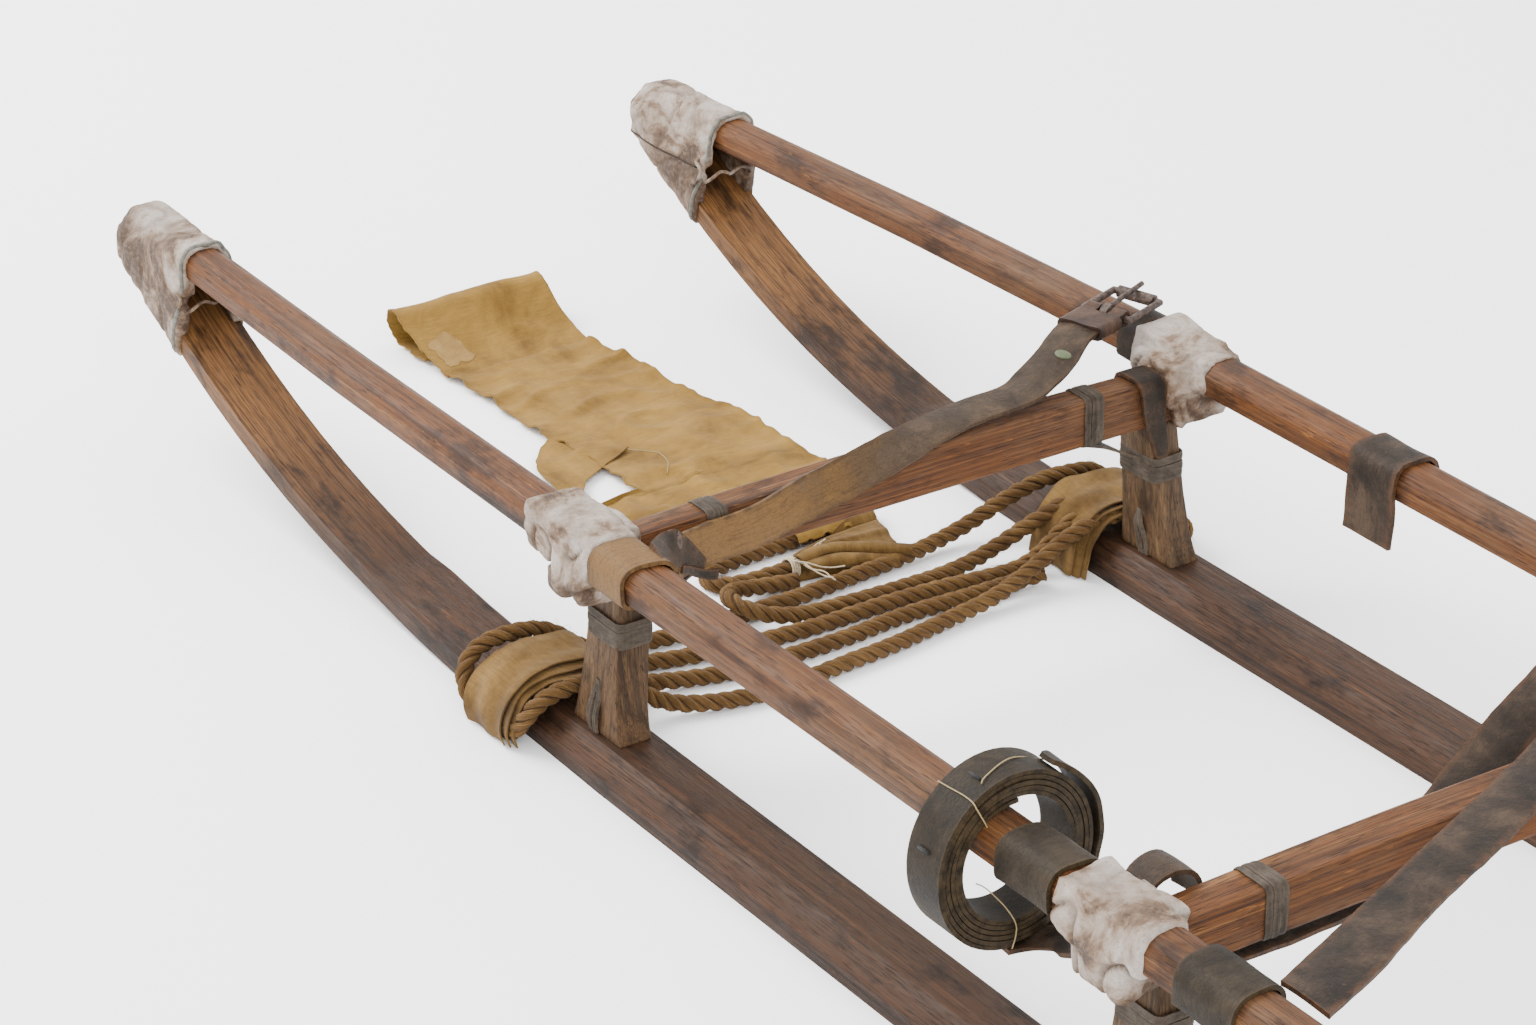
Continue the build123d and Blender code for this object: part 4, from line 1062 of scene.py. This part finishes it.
keeper = [[on_buckle(x + 0.5 * math.sin(a * 0.3), a, b) for x in (-51, -50.4, -46, -39, -32, -27.6, -27)]
          for a, b in ring_path(box_outline(16.0, 3.6), 0.0, 44)]
folds = [skin("keeper_loop", keeper, KEEPER_T, STRAP_RED, ring=True)]
for way in (-1, 1):
    grid = []
    for k in range(19):
        angle = math.radians(-150 + 300 * k / 18)
        x, z = -18 + FOLD_RADIUS * math.cos(angle), FOLD_RADIUS * math.sin(angle)
        grid.append([on_buckle(x, way * y, z) for y in FOLD_ACROSS])
    folds.append(skin(f"keeper_fold_{way}", grid if way < 0 else grid[::-1], KEEPER_T, STRAP_RED))
    for z in (-1, 1):
        grid = [[on_buckle(x, way * y, z * (3.0 + 0.02 * (x + 28))) for y in FOLD_ACROSS]
                for x in (-29, -26, -23, -21.4)]
        folds.append(skin(f"keeper_flat_{way}_{z}", grid, KEEPER_T, STRAP_RED))
merge("strap_keeper_skin", folds, "strap_keeper")


def stud(name, centre, normal, material, radius, height):
    """A small domed rivet head on a surface; centre in metres."""
    bm = bmesh.new()
    bmesh.ops.create_uvsphere(bm, u_segments=20, v_segments=10, radius=1.0)
    turn = UP.rotation_difference(normal).to_matrix().to_4x4()
    bm.transform(Matrix.Translation(centre) @ turn @ Matrix.Diagonal((radius, radius, height, 1)))
    add(name, mesh_of(name, bm), material)


stud("strap_rivet", place(146, 48, 178.4), Vector((0.05, -0.1, 1)), RIVET, radius=0.0064, height=0.0016)
stud("tab_rivet", place(-185.3, -3, 158.1), Vector((0.74, -0.65, 0.15)), IRON, radius=0.0055, height=0.0017)
strap("tab_tail", TAB_TAIL, 0.0022, STRAP_DARK, columns=5, curl=0.0003)

# ---------------- rope
# the routes' control points in mm: x, y and z
TRACE = (
    (150, 68, 9), (122, 73, 6.3), (84, 74, 6.3), (40, 76, 6.3), (-8, 70, 6.3), (-52, 70.5, 6.3), (-96, 72, 6.3),
    (-134, 84, 6.3), (-166, 88, 12), (-189, 85, 34), (-214, 84, 39), (-236, 84, 38), (-248, 86, 33),
    (-256, 92, 25), (-257, 104, 20.5), (-256, 116, 25), (-248, 122, 33), (-236, 124, 38), (-212, 124, 39),
    (-188, 124, 33), (-166, 122, 12), (-140, 116, 6.3), (-108, 106, 6.3), (-60, 98, 6.3), (-14, 94, 6.3),
    (36, 96, 6.3), (84, 94, 6.3), (118, 88, 6.3), (150, 84, 8), (176, 83, 27), (194, 83, 38), (222, 83, 39),
    (242, 85, 35), (255, 86, 23), (257, 80, 11), (257, 66, 6.3), (257, 52, 11), (255, 47, 24), (243, 52, 35),
    (222, 62, 39), (192, 66, 38), (168, 68, 30), (140, 64, 19), (104, 58, 9), (62, 54, 6.3), (14, 45, 6.3),
    (-34, 42, 6.3), (-82, 36, 6.3), (-128, 44, 6.3), (-162, 58, 10), (-184, 64, 31), (-208, 64, 39),
    (-236, 64, 38), (-249, 65, 32), (-257, 69, 20), (-257, 80, 9), (-257, 97, 6.3), (-257, 115, 6.4),
    (-257, 131, 9), (-257, 142, 20), (-249, 146, 32), (-236, 147, 38), (-208, 146, 39), (-186, 146, 31),
    (-164, 146, 10), (-134, 142, 6.3), (-96, 134, 6.3), (-52, 136, 6.3), (-4, 135, 6.3), (44, 140, 6.3),
    (92, 144, 6.3), (140, 150, 10), (172, 142, 28), (196, 134, 40), (220, 130, 41), (241, 134, 36),
    (255, 137, 24), (257, 131, 11), (257, 118, 6.3), (257, 105, 11), (255, 99, 24), (241, 98, 36),
    (220, 98, 39), (192, 99, 38), (168, 106, 26), (140, 112, 11), (104, 108, 6.3), (62, 108, 6.4),
    (20, 110, 6.3), (-20, 112, 7), (-48, 120, 14), (-58, 138, 20), (-44, 156, 14), (-14, 160, 7), (12, 155, 6.3))
BECKET = ((78, 208, 8), (44, 206, 6.3), (12, 205, 6.3), (-16, 203, 6.3), (-34, 198, 6.3), (-42, 187, 6.3),
          (-34, 176, 6.3), (-16, 171, 7), (14, 169, 9), (44, 162, 8), (74, 160, 6.3))
ROPE_R = 0.006
ROPE_STEP = 0.0024
STRANDS = 3
STRAND_SIDES = 9
STRAND_R = ROPE_R * 0.52
STRAND_OFFSET = ROPE_R * 0.50
STRAND_FLAT = 1.12          # a strand is this much wider than it is thick
STRAND_TURN = 0.030         # run of one full turn of a strand
FIBRE_R = 0.00011


def followed(name, table):
    """The line of a NURBS route through control points in mm, evenly spaced."""
    data = bpy.data.curves.new(name, "CURVE")
    data.dimensions = "3D"
    spline = data.splines.new("NURBS")
    spline.points.add(len(table) - 1)
    for control, spot in zip(spline.points, table):
        control.co = (*place(*spot), 1.0)
    spline.order_u = 3
    spline.use_endpoint_u = True
    spline.resolution_u = 12
    holder = linked(name, data)
    line = bpy.data.meshes.new_from_object(holder.evaluated_get(bpy.context.evaluated_depsgraph_get()))
    points = [v.co.copy() for v in line.vertices]
    bpy.data.objects.remove(holder)
    out, left = [points[0]], 0.0
    for a, b in zip(points, points[1:]):
        span = (b - a).length
        run = ROPE_STEP - left
        while run <= span:
            out.append(a.lerp(b, run / span))
            run += ROPE_STEP
        left = span - (run - ROPE_STEP)
    return out


def laid_rope(name, node, table, seed):
    """Three strands laid round the route."""
    points = followed(name + "_route", table)
    runs = runs_of(points)
    frames = []
    side = UP
    for i in range(len(points)):
        ahead = heading(points, i)
        side = (side - ahead * side.dot(ahead)).normalized()
        frames.append((ahead, side, ahead.cross(side)))
    verts, faces, where, rims = [], [], [], []
    for strand in range(STRANDS):
        rings = []
        for i, (point, (ahead, a, b)) in enumerate(zip(points, frames)):
            angle = 2 * math.pi * (runs[i] / STRAND_TURN + strand / STRANDS)
            out = a * math.cos(angle) + b * math.sin(angle)
            around = ahead.cross(out)
            puff = 1 + 0.06 * wobble(point, 0.011, seed + strand)
            rings.append([len(verts) + k % STRAND_SIDES for k in range(STRAND_SIDES + 1)])
            for turn in circle(STRAND_SIDES):
                outward = out * (STRAND_OFFSET + math.cos(turn) * STRAND_R * puff)
                verts.append(point + outward + around * math.sin(turn) * STRAND_R * STRAND_FLAT * puff)
                where.append((STRAND_R * turn + strand * 0.1, runs[i], 0))
                # painted shade share: highest on a strand's inner side, where it meets the other strands
                rims.append(max(0.0, -math.cos(turn) * 0.9 + 0.25))
        for before, after in zip(rings, rings[1:]):
            faces += strip(before, after)
        faces += [tuple(rings[0][:-1])[::-1], tuple(rings[-1][:-1])]
    return shaped(name, verts, faces, ROPE, where, rims, node), points, runs[-1]


trace, trace_points, trace_length = laid_rope("trace_rope_strands", "trace_rope", TRACE, 1.0)
becket, becket_points, becket_length = laid_rope("belt_becket_strands", "belt_becket", BECKET, 5.0)


def fuzz(name, points, count, seed):
    """Loose fibres that stand off the rope; one that would enter the ground is left out."""
    rng = random.Random(seed)
    verts, faces = [], []
    for _ in range(count):
        i = rng.randrange(3, len(points) - 3)
        ahead = (points[i + 1] - points[i]).normalized()
        side = ahead.orthogonal().normalized()
        side.rotate(Matrix.Rotation(rng.uniform(0, 2 * math.pi), 3, ahead))
        start = points[i] + side * ROPE_R * 0.93
        reach = rng.uniform(0.002, 0.0075)
        bend = ahead * rng.choice((-1, 1)) * rng.uniform(0.4, 1.2) + side * rng.uniform(0.35, 1.0)
        bend.normalize()
        end = start + bend * reach
        if end.z < 0.0008 or start.z < 0.0012:
            continue
        middle = (start + end) / 2 + side * 0.0006
        wide = ahead.cross(bend).normalized() * FIBRE_R
        n = len(verts)
        verts += [start - wide, start + wide, middle + wide, middle - wide, end]
        faces += [(n, n + 1, n + 2, n + 3), (n + 3, n + 2, n + 4)]
    shaped(name, verts, faces, ROPE, [(v.x, v.y, 0) for v in verts], smooth=False)


fuzz("rope_fibres", trace_points, 2600, 11)
fuzz("becket_fibres", becket_points, 260, 12)

# ---------------- canvas
CANVAS_T = 0.0011
CUT_RUN = 0.0022            # how far a cut edge is frayed and dirty
# heights in metres of the cloth's broad swellings, its ridges and its small creases
SWELL, RIDGE, CREASE = 0.0026, 0.0058, 0.0008
GATHER_RISE = 0.010
EDGE_CURL = 0.0045
# y ahead of the first uprights, left edge, right edge
BELT = (
    (196, 40, 88), (214, 30, 112), (262, -30, 128), (303, -44, 131), (328, -46, 132), (333, -4, 132),
    (356, -4, 132), (384, -5, 130), (413, -8, 127), (442, -11, 120), (480, -12, 116), (522, -12, 114),
    (562, -15, 108), (574, -16, 106))
BELT_STEP = 2.5
BELT_COLUMNS = 60
# the line of the cloth over the hem at the far end: y and z; and how the edges lean in at its top
HEM = (
    (574, 1.2), (590, 4.5), (604, 10), (615, 17), (625, 26), (633, 32.5), (641, 33), (648, 28),
    (652.5, 18), (651, 8), (645, 2.2), (630, 1.2), (608, 1.2))
HEM_TOP = 33.0
HEM_LEAN = (-10.0, -4.0)
# the folded side from its fold back to the strip: left x, y, right x, y
FLAP = (
    (-15, 436, 7, 437), (-24, 430, 16, 428), (-38, 413, 25, 413), (-45, 400, 27, 393), (-48, 385, 2, 382),
    (-50, 371, -25, 366), (-53, 344, -41, 345), (-56, 320, -44, 320))


def shares(count):
    """Even shares from 0 to 1."""
    return [k / (count - 1) for k in range(count)]


def fold_height(x, y, seed):
    """Height in metres of the canvas's creases over the ground; x and y in mm."""
    point = Vector((x, y, 0))
    soft = 0.5 + 0.5 * noise.noise(point / 46 + Vector((0, 0, seed)))
    ridge = 1 - abs(noise_at(x / 60 + y / 150, y / 42 - x / 120, seed + 3))
    small = 0.5 + 0.5 * noise.noise(point / 14 + Vector((0, 0, seed + 9)))
    return SWELL * soft + RIDGE * max(0.0, ridge - 0.72) / 0.28 * soft + CREASE * small


def over_rope(y):
    """Least height in mm of the cloth where it lies over the becket."""
    return 14.6 * math.exp(-((y - 207) / 13) ** 4)


def belt_edges(y, run, lean):
    """Left and right edge of the belt in mm at a y, torn unevenly along their run."""
    flat_y = min(y, BELT[-1][0])
    k = min(max(bisect.bisect([row[0] for row in BELT], flat_y), 1), len(BELT) - 1)
    (y0, left_0, right_0), (y1, left_1, right_1) = BELT[k - 1], BELT[k]
    t = (flat_y - y0) / (y1 - y0)
    t = t * t * (3 - 2 * t)
    left = left_0 + (left_1 - left_0) * t + HEM_LEAN[0] * lean
    left += 3.4 * noise_at(run / 15, 1, 0) + 1.7 * noise_at(run / 5, 2, 0)
    right = right_0 + (right_1 - right_0) * t + HEM_LEAN[1] * lean
    right += 1.2 * noise_at(run / 19, 5, 0) + 0.7 * noise_at(run / 6, 6, 0)
    return left, right


def belt_grid():
    """The strip laid from the becket to its hem, which stands up and rolls under."""
    stations = []
    y = BELT[0][0]
    while y < BELT[-1][0]:
        stations.append((y, 0.0))
        y += BELT_STEP
    stations += [(p.y, p.z) for p in curve([Vector((0, *spot)) for spot in HEM], 2.2)]
    rows = []
    for n, (y, rise) in enumerate(stations):
        lean = min(1.0, rise / HEM_TOP)
        run = n * 2.4
        left, right = belt_edges(y, run, lean)
        gather = max(0.0, 1 - (y - BELT[0][0]) / 90)
        calm = 1.0 if rise == 0.0 else 0.35
        row = []
        for s in shares(BELT_COLUMNS):
            x = left + (right - left) * s
            z = calm * fold_height(x, y, 2.0) + 0.0008
            pleat = 0.5 + 0.5 * math.sin(s * 19 + y / 40)
            z += gather * GATHER_RISE * pleat * (0.6 + 0.4 * noise_at(x / 20, y / 30, 4))
            inset = min(s, 1 - s) * (right - left)
            curl = 0.5 + 0.5 * noise_at(y / 12, s * 3, 7)
            z += EDGE_CURL * calm * max(0.0, 1 - inset / 7) ** 2 * curl
            z = max(z, over_rope(y) / 1000)
            sag = 1.2 * noise_at(s * 3.5, run / 26, 1) * lean
            row.append(place(x, y + sag, rise + sag) + Vector((0, 0, z)))
        rows.append(row)
    return rows


def flap_grid():
    """The side folded over on to the belt."""
    rows = []
    for i, (near, far) in enumerate(zip(FLAP, FLAP[1:])):
        for t in (n / 10 for n in range(10)):
            x0, y0, x1, y1 = (a + (b - a) * t for a, b in zip(near, far))
            row = []
            for s in shares(30):
                x = x0 + (x1 - x0) * s + 0.8 * noise_at(s * 4, (i + t) * 1.7, 3)
                y = y0 + (y1 - y0) * s
                hollow = math.sin(s * math.pi) * (0.4 + 0.6 * noise_at(x / 30, y / 30, 8) ** 2)
                lift = 0.0040 + 0.0022 * hollow
                row.append(place(x, y, 0) + Vector((0, 0, 0.6 * fold_height(x, y, 5.0) + lift)))
            rows.append(row)
    return rows


def gathered_grid():
    """The belt's end drawn together round the rope's two legs, spreading to a straight cut edge."""
    rows = []
    for t in shares(44):
        front, back = 162 - 12 * t, 178 + 29 * t ** 0.8
        row = []
        for share in shares(60):
            s = share * 2 - 1
            x = 16 + (76 + 7 * (s + 1)) * t + 1.2 * noise_at(s * 4, t * 2, 5)
            y = (front + back) / 2 + (back - front) / 2 * s
            arch = max(0.0, 1 - abs(s) ** 2.6)
            ridge = (1.0 - 0.6 * t) * (0.5 + 0.5 * math.cos(s * 11 + 0.8)) ** 2
            z = (8.0 + 5.5 * math.sin(t * 2.4 + 0.5)) * arch + 3.4 * ridge * arch
            z += 2.2 * noise_at(x / 30, y / 18, 2) * arch
            row.append(place(x, y, max(1.0, z + 1.0, over_rope(y))))
        rows.append(row)
    return rows


belt = skin("canvas_belt_cloth", belt_grid(), CANVAS_T, CANVAS, "canvas_belt", rim_run=CUT_RUN)
flap = skin("canvas_flap_cloth", flap_grid(), CANVAS_T, CANVAS, "canvas_belt", rim_run=CUT_RUN)

# a repair's stitches, and a paler worn place: x and y on the cloth
STITCHES = (
    (8.8, 436), (15.9, 427.2), (23.3, 420.2), (27.5, 409.3), (29.3, 396.1), (36.1, 385.6), (41.7, 375.8),
    (39, 359.9), (28.8, 345))
PALE = ((-12, 611.1), (8.7, 613.6), (-8.4, 584), (17.5, 590.3))
cloth_tree = tree_of(belt.data)


def on_belt(x, y, lift):
    """A point just above the laid cloth."""
    return cloth_tree.ray_cast(place(x, y, 90), -UP)[0] + Vector((0, 0, lift))


def pale_grid():
    """A ragged four-cornered place on the cloth."""
    rows = []
    for s in shares(18):
        row = []
        for t in shares(18):
            x, y = ((1 - s) * ((1 - t) * a + t * b) + s * ((1 - t) * c + t * d)
                    for a, b, c, d in zip(*PALE))
            ragged = Vector((x, y, 0)) / 8
            x += 6 * noise.noise(ragged)
            y += 6 * noise.noise(ragged + Vector((9, 0, 0)))
            row.append(on_belt(x, y, 0.0002))
        rows.append(row)
    return rows


stitch_line = curve([Vector((x, y, 0)) for x, y in STITCHES], 3.0)
stitches = tube("belt_stitches", [on_belt(p.x, p.y, 0.0003) for p in stitch_line], THREAD_R, THREAD)
pale_patch = skin("belt_pale_patch", pale_grid(), 0.0003, CANVAS_PALE, rim_run=0.001)
gathered = skin("canvas_end_cloth", gathered_grid(), CANVAS_T, CANVAS_WORN, "canvas_end", rim_run=CUT_RUN)


def hem_roll(name, line, radius):
    """A narrow hem rolled along an edge of cloth."""
    points = curve([place(*spot) for spot in line], 0.002)
    grid = []
    for i, point in enumerate(points):
        side = UP.cross(heading(points, i)).normalized()
        wide = radius * (1 + 0.22 * wobble(point, 0.013, radius * 1000))
        angles = [math.radians(-150 + 300 * share) for share in shares(15)]
        grid.append([point + side * math.sin(a) * wide * 1.35 + UP * math.cos(a) * wide for a in angles])
    return skin(name, grid, CANVAS_T, CANVAS_WORN, "canvas_end", rim_run=0.0012)


END_HEMS = ((((17, 165, 15), (36, 168, 16), (54, 166, 14.5), (72, 155, 13.5), (94, 141, 12)), 0.0033),
            (((20, 160, 11), (42, 160, 10), (64, 151, 9), (84, 142, 7)), 0.0040))
end_hems = [hem_roll(f"end_hem_{k}", line, radius) for k, (line, radius) in enumerate(END_HEMS, 1)]

# canvas wrapped round rope and runner: x, z from the ground inside, over the top, to the ground outside
SLEEVE = (
    (171, 2), (173, 14), (178, 30), (193, 44), (214, 46.5), (238, 46), (255, 38), (263, 26), (266, 12),
    (264, 2))
SLEEVES = (("left", -1, 74.0, 122.0), ("right", 1, 60.0, 112.0))
# for each layer: how far it lies inside the outermost, and how far its rear and front edges stand back
LAYERS = ((0.0, 5.0, 0.0), (2.6, 0.0, 3.0), (5.0, -4.0, 6.0))


def sleeve_grid(way, layer, rear, front, inset):
    """One layer of canvas over rope and runner, crumpled and pinched in along its middle."""
    path = curve([Vector((x, 0, z)) for x, z in SLEEVE], 2.2)
    grid = []
    for k, (spot, share) in enumerate(zip(path, shares(len(path)))):
        ahead = heading(path, k)
        inward = Vector((ahead.z, 0, -ahead.x))
        edge_r = rear + 3.5 * noise_at(share * 5, layer, way)
        edge_f = front + 4.0 * noise_at(share * 4, layer + 5, way)
        row = []
        for s in shares(22):
            y = edge_r + (edge_f - edge_r) * s
            crease = 1.5 * noise_at(spot.x / 14, y / 16, layer * 3 + way) + math.sin(y / 4.1 + share * 6)
            sunk = spot + inward * (inset + math.sin(s * math.pi) + crease * 0.7)
            row.append(place(way * sunk.x, y, max(1.0, sunk.z)))
        grid.append(row if way > 0 else row[::-1])
    return grid


for side, way, rear, front in SLEEVES:
    for layer, (inset, cut_rear, cut_front) in enumerate(LAYERS):
        grid = sleeve_grid(way, layer, rear + cut_rear, front - cut_front, inset)
        skin(f"sleeve_{side}_{layer}", grid, CANVAS_T, CANVAS_WORN, "rope_sleeves",
                                  rim_run=0.002)

# ---------------- twine that ties rope and canvas
TIE_TURNS = 4
TWINE_ENDS = 5
TWINE_R, TWINE_END_R = 0.0008, 0.00055
tie = []
for turn in range(TIE_TURNS):
    points = [place(11.4 + turn * 1.7 + 0.9 * math.sin(a), 169 + 7.2 * math.cos(a), 8.7 + 7.0 * math.sin(a))
              for a in circle(26)]
    tie.append(tube(f"tie_{turn}", points, TWINE_R, TWINE, closed=True))
rng = random.Random(4)
for k in range(TWINE_ENDS):
    points = [place(14, 166, 15.5)]
    run_out = Vector((0.6 + rng.uniform(-0.5, 0.6), rng.uniform(-0.8, 0.5), 0.0)).normalized()
    for n in range(9):
        run_out.rotate(Matrix.Rotation(rng.uniform(-0.35, 0.35), 3, "Z"))
        points.append(points[-1] + run_out * 0.0042 + UP * (0.0012 * math.sin(n * 0.9 + k)))
    tie.append(tube(f"strand_{k}", curve(points, 0.0016), TWINE_END_R, TWINE))
merge("rope_tie_twine", tie, "rope_tie")

# ---------------- surroundings
FLOOR_HALF = 14
world = bpy.data.worlds.new("studio")
bpy.context.scene.world = world
world.use_nodes = True
background = world.node_tree.nodes["Background"].inputs
background["Color"].default_value = (1.0, 1.0, 1.0, 1.0)
background["Strength"].default_value = 2.5


def lamp(name, spot, aim, size, power):
    """A square soft light that points at a spot on the sled."""
    light = bpy.data.lights.new(name, "AREA")
    light.shape = "SQUARE"
    light.size = size
    light.energy = power
    made = linked(name, light)
    made.location = spot
    made.rotation_euler = (Vector(aim) - Vector(spot)).to_track_quat("-Z", "Y").to_euler()


lamp("key", (-1.2, 3.4, 2.6), (0.0, 0.9, 0.1), size=2.2, power=270.0)
lamp("fill", (-1.6, -2.2, 2.6), (0.0, 0.8, 0.1), size=2.6, power=150.0)
paper = Shader("paper")
cloudy = paper.noise(paper.coords(), 0.5, 1)
white = paper.ramp(cloudy, (0.3, (0.955, 0.957, 0.962)), (0.7, (0.968, 0.970, 0.974)))
floor_mesh = bpy.data.meshes.new("floor")
corners = [(x * FLOOR_HALF, y * FLOOR_HALF, 0) for x, y in ((-1, -1), (1, -1), (1, 1), (-1, 1))]
floor_mesh.from_pydata(corners, [], [(0, 1, 2, 3)])
floor_mesh.materials.append(paper.finish(white, 0.9, paper.bump(cloudy, 0.0001)))
floor = linked("floor", floor_mesh)
